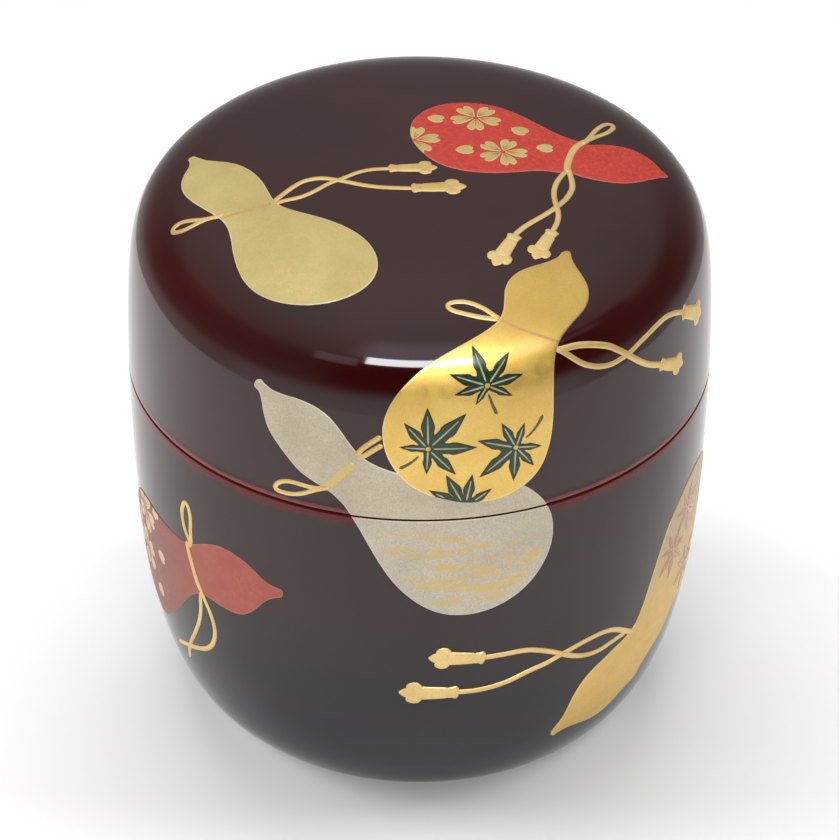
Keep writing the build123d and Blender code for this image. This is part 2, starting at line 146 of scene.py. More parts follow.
def lid_inside(extra, spacing=0.8):
    """Inside of the lid from the axis to the straight wall."""
    pts = [skin(s, lid_depth(s) - extra) for s in steps(0.0, 40.4, spacing)]
    end = (LID_MOUTH_R + extra, LID_STRAIGHT_TOP)
    (x0, y0), (x1, y1) = pts[-2], pts[-1]
    length = math.hypot(end[0] - x1, end[1] - y1)
    u = math.hypot(x1 - x0, y1 - y0)
    pts[0] = (0.0, pts[0][1])
    return pts[:-1] + hermite((x1, y1), ((x1 - x0) / u * length, (y1 - y0) / u * length),
                              end, (0.0, -length), 8)


def body_inside(extra, spacing=0.8):
    """Inside of the chamber from the edge of its flat floor up to the straight wall."""
    pts = [skin(s, body_depth(s) - extra) for s in steps(FLOOR_S, 60.0, spacing)]
    end = (RIM_IN_R + extra, SEAM_Z - 4.0)
    (x0, y0), (x1, y1) = pts[-2], pts[-1]
    length = math.hypot(end[0] - x1, end[1] - y1)
    u = math.hypot(x1 - x0, y1 - y0)
    return pts[:-1] + hermite((x1, y1), ((x1 - x0) / u * length, (y1 - y0) / u * length),
                              end, (0.0, length), 6)


# ================================================================ mesh helpers
def build(name, verts, faces, material, sharp=None, smooth=True):
    """One mesh object in metres. sharp is a set of sorted vertex pairs."""
    me = bpy.data.meshes.new(name)
    me.from_pydata([tuple(v) for v in np.asarray(verts, float) * MM], [], faces)
    me.polygons.foreach_set("use_smooth", [smooth] * len(me.polygons))
    if sharp:
        ev = np.empty(len(me.edges) * 2, np.int32)
        me.edges.foreach_get("vertices", ev)
        ev = np.sort(ev.reshape(-1, 2), axis=1).astype(np.int64)
        top = int(ev.max()) + 1 if len(ev) else 1
        keys = np.array(sorted(a * top + b for a, b in sharp), np.int64)
        flags = np.isin(ev[:, 0] * top + ev[:, 1], keys)
        at = me.attributes.new("sharp_edge", "BOOLEAN", "EDGE")
        at.data.foreach_set("value", flags)
    me.update()
    me.validate()
    ob = bpy.data.objects.new(name, me)
    scene.collection.objects.link(ob)
    ob.data.materials.append(material)
    return ob


def lathe(name, section, material, segments=384, crease=32.0):
    """A closed solid turned about the axis. The section is a closed loop, or a chain
    that begins and ends on the axis."""
    pts = []
    for p in section:
        if not pts or math.hypot(p[0] - pts[-1][0], p[1] - pts[-1][1]) > 1e-5:
            pts.append((max(0.0, float(p[0])), float(p[1])))
    chain = pts[0][0] < 1e-6 and pts[-1][0] < 1e-6
    if not chain and math.hypot(pts[0][0] - pts[-1][0], pts[0][1] - pts[-1][1]) < 1e-5:
        pts.pop()
    n = len(pts)
    area = sum(pts[i][0] * pts[(i + 1) % n][1] - pts[(i + 1) % n][0] * pts[i][1] for i in range(n))
    if area < 0:
        pts.reverse()
    ang = np.arange(segments) * 2 * math.pi / segments
    verts, ring = [], []
    for r, z in pts:
        ring.append(len(verts))
        if r < 1e-6:
            verts.append((0.0, 0.0, z))
        else:
            verts.extend(zip(r * np.cos(ang), r * np.sin(ang), [z] * segments))
    faces = []
    for i in range(n if not chain else n - 1):
        k = (i + 1) % n
        pole_i, pole_k = pts[i][0] < 1e-6, pts[k][0] < 1e-6
        if pole_i and pole_k:
            continue
        for j in range(segments):
            j2 = (j + 1) % segments
            if pole_i:
                faces.append((ring[i], ring[k] + j2, ring[k] + j))
            elif pole_k:
                faces.append((ring[i] + j, ring[i] + j2, ring[k]))
            else:
                faces.append((ring[i] + j, ring[i] + j2, ring[k] + j2, ring[k] + j))
    sharp = set()
    for i in range(n):
        if pts[i][0] < 1e-6 or (chain and i in (0, n - 1)):
            continue
        a, b, c = pts[i - 1], pts[i], pts[(i + 1) % n]
        t0 = math.atan2(b[1] - a[1], b[0] - a[0])
        t1 = math.atan2(c[1] - b[1], c[0] - b[0])
        turn = abs((t1 - t0 + math.pi) % (2 * math.pi) - math.pi)
        if turn > math.radians(crease):
            for j in range(segments):
                p, q = ring[i] + j, ring[i] + (j + 1) % segments
                sharp.add((min(p, q), max(p, q)))
    return build(name, verts, faces, material, sharp)


# ---------------------------------------------------------------- laying flat shapes on the surface
def frame_at(p, s):
    """Nearest surface points to p, their distances along the profile and normals."""
    for _ in range(3):
        rr, zz, aa = profile(s)
        s = np.clip(s + (np.hypot(p[:, 0], p[:, 1]) - rr) * np.cos(aa) - (p[:, 2] - zz) * np.sin(aa),
                    0.0, 104.0)
    rr, zz, aa = profile(s)
    rho = np.maximum(np.hypot(p[:, 0], p[:, 1]), 1e-9)
    ux, uy = p[:, 0] / rho, p[:, 1] / rho
    return (np.stack([ux * rr, uy * rr, zz], -1), s,
            np.stack([ux * np.sin(aa), uy * np.sin(aa), np.cos(aa)], -1))


def surface_point(s, turn):
    """Point at distance s along the profile, turn degrees round from the front."""
    rr, zz, _ = profile(s)
    t = np.radians(turn)
    return np.stack([rr * np.sin(t), -rr * np.cos(t), zz], -1)


def basis(s0, turn):
    _, _, aa = (float(v) for v in profile(s0))
    t = math.radians(turn)
    er = np.array([math.sin(t), -math.cos(t), 0.0])
    et = np.array([math.cos(t), math.sin(t), 0.0])
    return surface_point(s0, turn), er * math.cos(aa) + np.array([0, 0, -math.sin(aa)]), et


def unit(v):
    return v / np.maximum(np.linalg.norm(v, axis=-1, keepdims=True), 1e-12)


def laid(s0, turn, uv, n_steps=24):
    """Points reached by going straight over the surface from (s0, turn): uv is mm
    down the profile and mm to the right."""
    uv = np.asarray(uv, float).reshape(-1, 2)
    p0, down, side = basis(s0, turn)
    length = np.hypot(uv[:, 0], uv[:, 1])
    way = unit(uv[:, :1] * down + uv[:, 1:] * side)
    p = np.repeat(p0[None], len(uv), 0)
    s = np.full(len(uv), float(s0))
    _, _, n = frame_at(p, s)
    h = (length / n_steps)[:, None]
    for _ in range(n_steps):
        _, sq, nq = frame_at(p + way * h / 2, s)
        mid = unit(way - nq * (way * nq).sum(-1, keepdims=True))
        p, s, n = frame_at(p + mid * h, sq)
        way = unit(mid - n * (mid * n).sum(-1, keepdims=True))
    return p, s, n


def flat_place(s0, turn, target):
    """The inverse: (down, right) of points on the surface, seen from (s0, turn)."""
    target = np.asarray(target, float).reshape(-1, 3)
    p0, down, side = basis(s0, turn)
    d = target - p0
    uv = np.stack([d @ down, d @ side], -1)
    uv *= (np.linalg.norm(d, axis=1) / np.maximum(np.hypot(uv[:, 0], uv[:, 1]), 1e-6))[:, None]
    for _ in range(14):
        p = laid(s0, turn, uv)[0]
        e = 1e-3
        ju = (laid(s0, turn, uv + [e, 0])[0] - p) / e
        jv = (laid(s0, turn, uv + [0, e])[0] - p) / e
        w = target - p
        a, b, c = (ju * ju).sum(1), (ju * jv).sum(1), (jv * jv).sum(1)
        x, y = (ju * w).sum(1), (jv * w).sum(1)
        det = a * c - b * b
        step = np.stack([(c * x - b * y) / det, (a * y - b * x) / det], -1)
        size = np.hypot(step[:, 0], step[:, 1])[:, None]
        uv = uv + step * np.minimum(1.0, 2.0 / np.maximum(size, 1e-9))
        if np.abs(w).max() < 1e-3:
            break
    return uv


def raised(p, s, n, height, side):
    """Moves surface points out by height. Near the seam they follow the rounded edge."""
    p, n = p.copy(), n.copy()
    q = SEAM_ROUND
    if side == "lid":
        m = s > SEAM_S - q
        phi = np.radians(SEAM_WRAP) * np.clip((s[m] - (SEAM_S - q)) / q, 0, 1)
        sign = -1.0
    else:
        m = s < SEAM_S + q
        phi = np.radians(SEAM_WRAP) * np.clip(((SEAM_S + q) - s[m]) / q, 0, 1)
        sign = 1.0
    if m.any():
        u = unit(p[m][:, :2])
        rr = SEAM_R - q + q * np.cos(phi)
        p[m] = np.stack([u[:, 0] * rr, u[:, 1] * rr, SEAM_Z - sign * q + sign * q * np.sin(phi)], -1)
        n[m] = np.stack([u[:, 0] * np.cos(phi), u[:, 1] * np.cos(phi), sign * np.sin(phi)], -1)
    return p + n * np.asarray(height).reshape(-1, 1)


# ---------------------------------------------------------------- flat outlines
def closed(pts, spacing):
    """A closed outline resampled at an even spacing."""
    pts = np.asarray(pts, float)
    loop = np.vstack([pts, pts[:1]])
    seg = np.hypot(*np.diff(loop, axis=0).T)
    at = np.r_[0, np.cumsum(seg)]
    n = max(8, int(round(at[-1] / spacing)))
    t = np.arange(n) * at[-1] / n
    return np.stack([np.interp(t, at, loop[:, 0]), np.interp(t, at, loop[:, 1])], -1)


def inside(loop, pts):
    """Which points lie inside a closed outline."""
    x, y = pts[:, 0][:, None], pts[:, 1][:, None]
    x0, y0 = loop[:, 0][None], loop[:, 1][None]
    x1, y1 = np.roll(loop[:, 0], -1)[None], np.roll(loop[:, 1], -1)[None]
    cross = (y0 > y) != (y1 > y)
    with np.errstate(divide="ignore", invalid="ignore"):
        at = (x1 - x0) * (y - y0) / (y1 - y0) + x0
    return (np.sum(cross & (x < at), axis=1) % 2) == 1


def distance(lines, pts):
    """Distance of each point to the nearest of some outlines (loop, is_closed)."""
    best = np.full(len(pts), 1e9)
    for loop, is_closed in lines:
        a = loop if is_closed else loop[:-1]
        b = np.roll(loop, -1, axis=0) if is_closed else loop[1:]
        d = b - a
        dd = np.maximum((d * d).sum(1), 1e-12)
        for i in range(0, len(pts), 2000):
            q = pts[i:i + 2000]
            w = q[:, None, :] - a[None]
            t = np.clip((w * d[None]).sum(-1) / dd[None], 0, 1)
            gap = np.linalg.norm(w - t[..., None] * d[None], axis=-1).min(1)
            best[i:i + 2000] = np.minimum(best[i:i + 2000], gap)
    return best


def tiles(lines, keep, soft, spacing, rings=(0.07, 0.15, 0.24, 0.34)):
    """Triangles of a flat region: its vertices, faces and distance from the soft edges."""
    every = np.vstack([loop for loop, _ in lines])
    lo, hi = every.min(0) - spacing, every.max(0) + spacing
    nx, ny = (np.ceil((hi - lo) / spacing)).astype(int) + 1
    gx, gy = np.meshgrid(np.arange(nx), np.arange(ny), indexing="ij")
    grid = np.stack([lo[0] + (gx + 0.5 * (gy % 2)).ravel() * spacing,
                     lo[1] + gy.ravel() * spacing * 0.93], -1)
    grid = grid[keep(grid)]
    limit = max(rings) + 0.45 * spacing if rings and soft else 0.45 * spacing
    if len(grid):
        grid = grid[(distance(lines, grid) > 0.45 * spacing) &
                    (distance(soft, grid) > limit if soft else True)]
    extra = [grid] if len(grid) else []
    for off in rings if soft else ():
        for loop, is_closed in soft:
            nxt, prv = np.roll(loop, -1, axis=0), np.roll(loop, 1, axis=0)
            t = unit(nxt - prv)
            nn = np.stack([-t[:, 1], t[:, 0]], -1)
            for sign in (1, -1):
                cand = (loop + nn * off * sign)[:: (1 if off < 0.2 else 2)]
                good = keep(cand)
                good[good] = distance(soft, cand[good]) > off * 0.93
                good[good] = distance(lines, cand[good]) > min(off, 0.05) * 0.9
                if good.any():
                    extra.append(cand[good])
    pts, edges = [], []
    for loop, is_closed in lines:
        base = len(pts)
        pts.extend(map(tuple, loop))
        k = len(loop)
        edges += [(base + i, base + (i + 1) % k) for i in range(k if is_closed else k - 1)]
    for block in extra:
        pts.extend(map(tuple, block))
    out = delaunay_2d_cdt([Vector(p) for p in pts], edges, [], 0, 1e-5)
    v = np.array([(p[0], p[1]) for p in out[0]])
    f = np.array([tuple(t) for t in out[2] if len(t) == 3], int)
    c = v[f].mean(1)
    f = f[keep(c)]
    a, b, d = v[f[:, 0]], v[f[:, 1]], v[f[:, 2]]
    area = (b[:, 0] - a[:, 0]) * (d[:, 1] - a[:, 1]) - (b[:, 1] - a[:, 1]) * (d[:, 0] - a[:, 0])
    f = f[np.abs(area) > 1e-7]
    area = area[np.abs(area) > 1e-7]
    f[area < 0] = f[area < 0][:, ::-1]
    used = np.unique(f)
    remap = np.full(len(v), -1)
    remap[used] = np.arange(len(used))
    v, f = v[used], remap[f]
    return v, f, (distance(soft, v) if soft else np.full(len(v), 9.0))


def shell(v, f, lift, lay):
    """Closes the tiles into a solid: top raised by lift[0], bottom by lift[1]. lay maps
    flat points and a height to space."""
    top = lay(v, lift[0])
    bottom = lay(v, lift[1])
    n = len(v)
    faces = [tuple(int(i) for i in t) for t in f]
    faces += [(int(t[2]) + n, int(t[1]) + n, int(t[0]) + n) for t in f]
    directed = {}
    for t in f:
        for i in range(3):
            directed[(int(t[i]), int(t[(i + 1) % 3]))] = True
    sharp = set()
    for a, b in directed:
        if (b, a) not in directed:
            faces.append((b, a, a + n, b + n))
            sharp.add((min(a, b), max(a, b)))
            sharp.add((min(a, b) + n, max(a, b) + n))
    return np.vstack([top, bottom]), faces, sharp


def pillow(d, height, edge, width):
    t = np.clip(d / width, 0, 1)
    return edge + (height - edge) * np.sqrt(np.maximum(0, 1 - (1 - t) ** 2))


class Parts:
    """Gathers several closed shells into one piece."""

    def __init__(self):
        self.v, self.f, self.sharp, self.edge, self.count = [], [], set(), [], 0

    def add(self, verts, faces, sharp=(), edge=None):
        c = self.count
        self.v.append(np.asarray(verts, float))
        self.f += [tuple(i + c for i in t) for t in faces]
        self.sharp |= {(a + c, b + c) for a, b in sharp}
        self.edge.append(np.asarray(edge, float) if edge is not None else np.full(len(verts), 9.0))
        self.count += len(verts)

    def make(self, name, material):
        ob = build(name, np.vstack(self.v), self.f, material, self.sharp)
        at = ob.data.attributes.new("edge_mm", "FLOAT", "POINT")
        at.data.foreach_set("value", np.concatenate(self.edge).astype(np.float32))
        return ob


def relief(parts, place, lines, keep, soft, height, side, spacing=0.5, edge=0.03, width=0.32,
           bottom=-0.05, level=None, rings=(0.07, 0.15, 0.24, 0.34)):
    """Adds a flat shape laid on the surface at place=(s0, turn)."""
    v, f, d = tiles(lines, keep, soft, spacing, rings)
    base = np.zeros(len(v)) if level is None else level(v)
    p, s, n = laid(place[0], place[1], v)

    def lay(_, h):
        return raised(p, s, n, h, side)

    verts, faces, sharp = shell(v, f, (base + pillow(d, height, edge, width), base + bottom), lay)
    parts.add(verts, faces, sharp, np.r_[d, d])


def outline_relief(parts, place, loop, height, side, **kw):
    relief(parts, place, [(loop, True)], lambda q: inside(loop, q), [(loop, True)], height, side, **kw)


def band(parts, p, s, n, width, height, side, level=0.0, bottom=0.05, round_ends=True, across=7):
    """Adds a raised line: p are points on the surface, width and level may vary along it."""
    count = len(p)
    width = np.broadcast_to(np.asarray(width, float), (count,)).copy()
    level = np.broadcast_to(np.asarray(level, float), (count,)).copy()
    run = np.r_[0, np.cumsum(np.linalg.norm(np.diff(p, axis=0), axis=1))]
    if round_ends:
        r = np.maximum(width.mean() / 2, 1e-6)
        for gone in (run, run[-1] - run):
            k = np.clip(gone / r, 0, 1)
            width *= np.maximum(0.22, np.sqrt(np.maximum(0, 1 - (1 - k) ** 2)))
    t = np.gradient(p, axis=0)
    t = unit(t - n * (t * n).sum(-1, keepdims=True))
    b = np.cross(n, t)
    x = np.cos(np.linspace(0, math.pi, across))
    y = np.sqrt(np.maximum(0, 1 - x ** 2))
    loop = [(1.0, None)] + [(x[i], y[i]) for i in range(across)] + [(-1.0, None)]
    m = len(loop)
    verts = np.empty((count, m, 3))
    for j, (xx, yy) in enumerate(loop):
        q = p + b * (xx * width / 2)[:, None]
        q, sq, nq = frame_at(q, s)
        h = level - bottom if yy is None else level + 0.015 + (height - 0.015) * yy
        verts[:, j] = raised(q, sq, nq, h, side)
    verts = verts.reshape(-1, 3)
    faces = []
    for i in range(count - 1):
        for j in range(m):
            j2 = (j + 1) % m
            faces.append((i * m + j, i * m + j2, (i + 1) * m + j2, (i + 1) * m + j))
    faces.append(tuple(range(m - 1, -1, -1)))
    faces.append(tuple((count - 1) * m + j for j in range(m)))
    sharp = set()
    for i in range(count - 1):
        for j in (0, m - 1, 1, m - 2):
            sharp.add((i * m + j, (i + 1) * m + j))
    parts.add(verts, faces, sharp)


def route(points, spacing=0.22, smooth=3):
    """A smooth path over the surface through (s, turn) points."""
    c = surface_point(np.array([q[0] for q in points]), np.array([q[1] for q in points]))
    s = np.array([q[0] for q in points], float)
    ext = np.vstack([2 * c[0] - c[1], c, 2 * c[-1] - c[-2]])
    es = np.r_[2 * s[0] - s[1], s, 2 * s[-1] - s[-2]]
    out, os_ = [], []
    for i in range(1, len(ext) - 2):
        for t in np.arange(12) / 12.0:
            w = 0.5 * np.array([-t + 2 * t * t - t ** 3, 2 - 5 * t * t + 3 * t ** 3,
                                t + 4 * t * t - 3 * t ** 3, -t * t + t ** 3])
            out.append(w @ ext[i - 1:i + 3])
            os_.append(w @ es[i - 1:i + 3])
    out.append(ext[-2])
    os_.append(es[-2])
    p, s, _ = frame_at(np.array(out), np.clip(os_, 0, 104))
    for _ in range(smooth * 6):
        p[1:-1] = 0.5 * p[1:-1] + 0.25 * (p[:-2] + p[2:])
    run = np.r_[0, np.cumsum(np.linalg.norm(np.diff(p, axis=0), axis=1))]
    k = max(4, int(round(run[-1] / spacing)))
    t = np.linspace(0, run[-1], k + 1)
    q = np.stack([np.interp(t, run, p[:, i]) for i in range(3)], -1)
    return frame_at(q, np.interp(t, run, s))


def bumps(n_points, pairs):
    """A height along a path, from (share of the path, height) pairs."""
    x = np.linspace(0, 1, n_points)
    return np.interp(x, [a for a, _ in pairs], [b for _, b in pairs])


# ================================================================ materials
def tree(name):
    mat = bpy.data.materials.new(name)
    mat.use_nodes = True
    nt = mat.node_tree
    nt.nodes.clear()
    out = nt.nodes.new("ShaderNodeOutputMaterial")
    bsdf = nt.nodes.new("ShaderNodeBsdfPrincipled")
    nt.links.new(bsdf.outputs["BSDF"], out.inputs["Surface"])
    return mat, nt, bsdf


def put(nt, socket, value):
    if isinstance(value, bpy.types.NodeSocket):
        nt.links.new(value, socket)
    else:
        socket.default_value = value


def math_node(nt, op, a, b=None, c=None, clamp=False):
    n = nt.nodes.new("ShaderNodeMath")
    n.operation = op
    n.use_clamp = clamp
    for i, v in enumerate((a, b, c)):
        if v is not None:
            put(nt, n.inputs[i], v)
    return n.outputs[0]


def millimetres(nt):
    """Place on the piece itself, in millimetres."""
    tc = nt.nodes.new("ShaderNodeTexCoord")
    sc = nt.nodes.new("ShaderNodeVectorMath")
    sc.operation = "SCALE"
    nt.links.new(tc.outputs["Object"], sc.inputs[0])
    sc.inputs["Scale"].default_value = 1000.0
    return sc.outputs[0]


def stretched(nt, vec, x, y, z):
    n = nt.nodes.new("ShaderNodeVectorMath")
    n.operation = "MULTIPLY"
    nt.links.new(vec, n.inputs[0])
    n.inputs[1].default_value = (x, y, z)
    return n.outputs[0]


def noise(nt, vec, scale, detail=3.0, rough=0.5, distortion=0.0):
    n = nt.nodes.new("ShaderNodeTexNoise")
    nt.links.new(vec, n.inputs["Vector"])
    n.inputs["Scale"].default_value = scale
    n.inputs["Detail"].default_value = detail
    n.inputs["Roughness"].default_value = rough
    n.inputs["Distortion"].default_value = distortion
    return n.outputs["Fac"]


def ramp(nt, fac, stops, mode="LINEAR"):
    n = nt.nodes.new("ShaderNodeValToRGB")
    n.color_ramp.interpolation = mode
    put(nt, n.inputs["Fac"], fac)
    e = n.color_ramp.elements
    while len(e) < len(stops):
        e.new(0.5)
    for el, (pos, col) in zip(e, stops):
        el.position = pos
        el.color = (*col, 1.0) if len(col) == 3 else col
    return n.outputs["Color"]


def mix(nt, fac, a, b, mode="MIX"):
    n = nt.nodes.new("ShaderNodeMix")
    n.data_type = "RGBA"
    n.blend_type = mode
    n.clamp_factor = True
    put(nt, n.inputs[0], fac)
    put(nt, n.inputs[6], (*a, 1.0) if isinstance(a, tuple) else a)
    put(nt, n.inputs[7], (*b, 1.0) if isinstance(b, tuple) else b)
    return n.outputs[2]


def span(nt, value, lo, hi, to_lo=0.0, to_hi=1.0, smooth=True):
    n = nt.nodes.new("ShaderNodeMapRange")
    n.interpolation_type = "SMOOTHSTEP" if smooth else "LINEAR"
    put(nt, n.inputs["Value"], value)
    n.inputs["From Min"].default_value = lo
    n.inputs["From Max"].default_value = hi
    n.inputs["To Min"].default_value = to_lo
    n.inputs["To Max"].default_value = to_hi
    return n.outputs["Result"]


def bump(nt, bsdf, height, strength, dist):
    n = nt.nodes.new("ShaderNodeBump")
    n.inputs["Strength"].default_value = strength
    n.inputs["Distance"].default_value = dist
    nt.links.new(height, n.inputs["Height"])
    nt.links.new(n.outputs["Normal"], bsdf.inputs["Normal"])


def edge_distance(nt):
    n = nt.nodes.new("ShaderNodeAttribute")
    n.attribute_name = "edge_mm"
    return n.outputs["Fac"]


def separate(nt, vec):
    n = nt.nodes.new("ShaderNodeSeparateXYZ")
    nt.links.new(vec, n.inputs[0])
    return n.outputs


def lacquer_outside(name, glow, glow_width, deep_lo, deep_hi):
    """Translucent red-brown lacquer over a dark ground, redder along the seam edge where the coat is thin; on the lid
    that edge band is partly a painted highlight.
    """
    mat, nt, bsdf = tree(name)
    mm = millimetres(nt)
    z = separate(nt, mm)[2]
    away = math_node(nt, "ABSOLUTE", math_node(nt, "SUBTRACT", z, SEAM_Z))
    cloud = noise(nt, mm, 0.055, 3.0, 0.55)
    deep = ramp(nt, cloud, [(0.30, deep_lo), (0.70, deep_hi)])
    # less red towards the foot, and a bluish tint there that is a painted reflection of the shadowed floor
    deep = mix(nt, span(nt, z, 7.0, 38.0, 0.0, 1.0), (0.0035, 0.0030, 0.0060), deep)
    # painted light: a redder band round the shoulder, where light from the front falls
    shoulder_painted_light = math_node(nt, "MULTIPLY", span(nt, z, 58.5, 61.5, 0.0, 1.0), span(nt, z, 64.5, 66.5, 1.0, 0.0))
    deep = mix(nt, 1.0, deep, mix(nt, shoulder_painted_light, (0.0, 0.0, 0.0), (0.010, 0.0003, 0.0003)), "ADD")
    wobble = noise(nt, stretched(nt, mm, 0.30, 0.30, 0.0), 1.0, 2.0)
    # painted highlight: the pale pink band on the lid's edge stands in for the bright floor reflected by its rounding;
    # the red in both bands is the red ground under the thin coat
    reach = math_node(nt, "DIVIDE", math_node(nt, "SUBTRACT", away, 0.26),
                      span(nt, wobble, 0.3, 0.7, 0.8 * glow_width, 1.2 * glow_width))
    worn_red_and_painted_highlight = ramp(nt, reach, [(0.0, glow), (0.28, tuple(0.62 * g for g in glow)), (1.0, (0.0, 0.0, 0.0))], "EASE")
    shade = span(nt, away, 0.15, 0.30, 0.0, 1.0)
    color = mix(nt, shade, (0.050, 0.008, 0.006), mix(nt, 1.0, deep, worn_red_and_painted_highlight, "ADD"))
    nt.links.new(color, bsdf.inputs["Base Color"])
    hazy = noise(nt, mm, 0.09, 2.0)
    fleck = noise(nt, mm, 1.9, 2.0, 0.6)
    rough = math_node(nt, "ADD", span(nt, hazy, 0.3, 0.7, 0.045, 0.075), span(nt, fleck, 0.72, 0.80, 0.0, 0.22))
    nt.links.new(rough, bsdf.inputs["Roughness"])
    nt.links.new(ramp(nt, span(nt, away, 0.0, 2.0, 0.0, 1.0, smooth=False),
                      [(0.065, (0.05, 0.05, 0.05)), (0.16, (0.27, 0.27, 0.27)), (0.75, (0.5, 0.5, 0.5))]),
                 bsdf.inputs["Specular IOR Level"])
    bsdf.inputs["IOR"].default_value = 1.51
    slow = noise(nt, mm, 0.16, 2.0, 0.45)
    bump(nt, bsdf, slow, 0.5, 0.0000105)
    return mat


def lacquer_inside(name, tone, rough_lo, rough_hi):
    mat, nt, bsdf = tree(name)
    mm = millimetres(nt)
    cloud = noise(nt, mm, 0.12, 3.0)
    nt.links.new(ramp(nt, cloud, [(0.3, tuple(0.8 * t for t in tone)), (0.7, tuple(1.25 * t for t in tone))]),
                 bsdf.inputs["Base Color"])
    brushed = noise(nt, mm, 0.8, 3.0, 0.6)
    nt.links.new(span(nt, brushed, 0.25, 0.75, rough_lo, rough_hi), bsdf.inputs["Roughness"])
    bsdf.inputs["IOR"].default_value = 1.5
    bump(nt, bsdf, noise(nt, mm, 0.35, 2.0), 0.4, 0.00002)
    return mat


def wood(name):
    mat, nt, bsdf = tree(name)
    mm = millimetres(nt)
    rings = nt.nodes.new("ShaderNodeTexWave")
    rings.wave_type = "RINGS"
    rings.rings_direction = "Y"
    nt.links.new(stretched(nt, mm, 1.0, 0.12, 1.0), rings.inputs["Vector"])
    rings.inputs["Scale"].default_value = 0.18
    rings.inputs["Distortion"].default_value = 3.0
    rings.inputs["Detail"].default_value = 2.0
    nt.links.new(ramp(nt, rings.outputs["Fac"], [(0.0, (0.30, 0.17, 0.08)), (1.0, (0.46, 0.29, 0.15))]),
                 bsdf.inputs["Base Color"])
    pores = noise(nt, stretched(nt, mm, 4.0, 0.4, 4.0), 1.0, 3.0)
    nt.links.new(span(nt, pores, 0.3, 0.7, 0.5, 0.75), bsdf.inputs["Roughness"])
    bump(nt, bsdf, pores, 0.3, 0.00005)
    return mat


def metal_powder(name, dark, light, rim, rough, metallic=1.0, blotch=None, grain=0.5, brushed=None, coat=0.0, painted_light_by_height=None):
    """Sprinkled metal powder under a thin polished coat."""
    mat, nt, bsdf = tree(name)
    mm = millimetres(nt)
    broad = noise(nt, mm, 0.16, 3.0, 0.55)
    color = ramp(nt, broad, [(0.32, dark), (0.68, light)])
    if blotch:
        color = mix(nt, span(nt, noise(nt, mm, 0.31, 2.0, 0.6), 0.50, 0.72, 0.0, blotch[1]), color, blotch[0])
    grainy = noise(nt, mm, 5.5, 2.0, 0.7)
    color = mix(nt, span(nt, grainy, 0.35, 0.65, 0.0, 0.22 * grain * 2), color, tuple(0.62 * c for c in dark))
    if brushed:
        tone, z_top, share = brushed
        z = separate(nt, mm)[2]
        streak = noise(nt, stretched(nt, mm, 0.18, 0.18, 1.10), 1.0, 3.0, 0.6, 0.5)
        zone = math_node(nt, "MULTIPLY", span(nt, z, z_top - 2.4, z_top - 0.9, 1.0, 0.0),
                         span(nt, edge_distance(nt), 0.5, 1.6, 0.0, 1.0))
        drawn = math_node(nt, "MULTIPLY", span(nt, streak, 0.43, 0.63, 0.0, share), zone)
        color = mix(nt, drawn, color, tone)
    # painted light: the colour turns greyer and darker towards the top, so the lower part, which reflects the shadowed
    # floor, keeps a bright base colour
    if painted_light_by_height:
        tone, z_lo, z_hi, share = painted_light_by_height
        color = mix(nt, span(nt, separate(nt, mm)[2], z_lo, z_hi, 0.0, share), color, tone)
    edge = edge_distance(nt)
    color = mix(nt, span(nt, edge, 0.02, 0.20, 0.75, 0.0), color, rim)
    nt.links.new(color, bsdf.inputs["Base Color"])
    bsdf.inputs["Metallic"].default_value = metallic
    nt.links.new(span(nt, noise(nt, mm, 1.1, 3.0, 0.6), 0.3, 0.7, rough - 0.05, rough + 0.06), bsdf.inputs["Roughness"])
    bsdf.inputs["Coat Weight"].default_value = coat
    bsdf.inputs["Coat Roughness"].default_value = 0.07
    bsdf.inputs["Coat IOR"].default_value = 1.45
    bump(nt, bsdf, grainy, 0.35 * grain, 0.00003)
    return mat


def red_figure(name, tones, blush, rim, rough=0.36, painted_shade_left=None):
    mat, nt, bsdf = tree(name)
    mm = millimetres(nt)
    fine = noise(nt, mm, 2.4, 3.0, 0.7)
    color = ramp(nt, fine, [(0.30, tones[0]), (0.52, tones[1]), (0.72, tones[2])])
    broad = noise(nt, mm, 0.35, 2.0)
    color = mix(nt, span(nt, broad, 0.4, 0.7, 0.0, 0.45), color, blush)
    color = mix(nt, span(nt, edge_distance(nt), 0.02, 0.20, 0.6, 0.0), color, rim)
    # painted shade: towards the left side, past x = -20 mm, the red is mixed with a dull dark red
    if painted_shade_left:
        color = mix(nt, span(nt, separate(nt, mm)[0], -31.0, -20.0, 0.75, 0.0), color, painted_shade_left)
    nt.links.new(color, bsdf.inputs["Base Color"])
    nt.links.new(span(nt, fine, 0.3, 0.7, rough - 0.04, rough + 0.08), bsdf.inputs["Roughness"])
    bsdf.inputs["IOR"].default_value = 1.48
    bump(nt, bsdf, fine, 0.3, 0.00003)
    return mat


def leaf_paint(name, fill, line, line_width=0.17):
    mat, nt, bsdf = tree(name)
    mm = millimetres(nt)
    n = noise(nt, mm, 1.3, 3.0, 0.6)
    body = ramp(nt, n, [(0.3, tuple(0.8 * c for c in fill)), (0.7, tuple(1.25 * c for c in fill))])
    color = mix(nt, span(nt, edge_distance(nt), line_width * 0.7, line_width * 1.3, 1.0, 0.0), body, line)
    nt.links.new(color, bsdf.inputs["Base Color"])
    nt.links.new(span(nt, n, 0.3, 0.7, 0.14, 0.26), bsdf.inputs["Roughness"])
    bsdf.inputs["IOR"].default_value = 1.45
    bump(nt, bsdf, n, 0.1, 0.00002)
    return mat


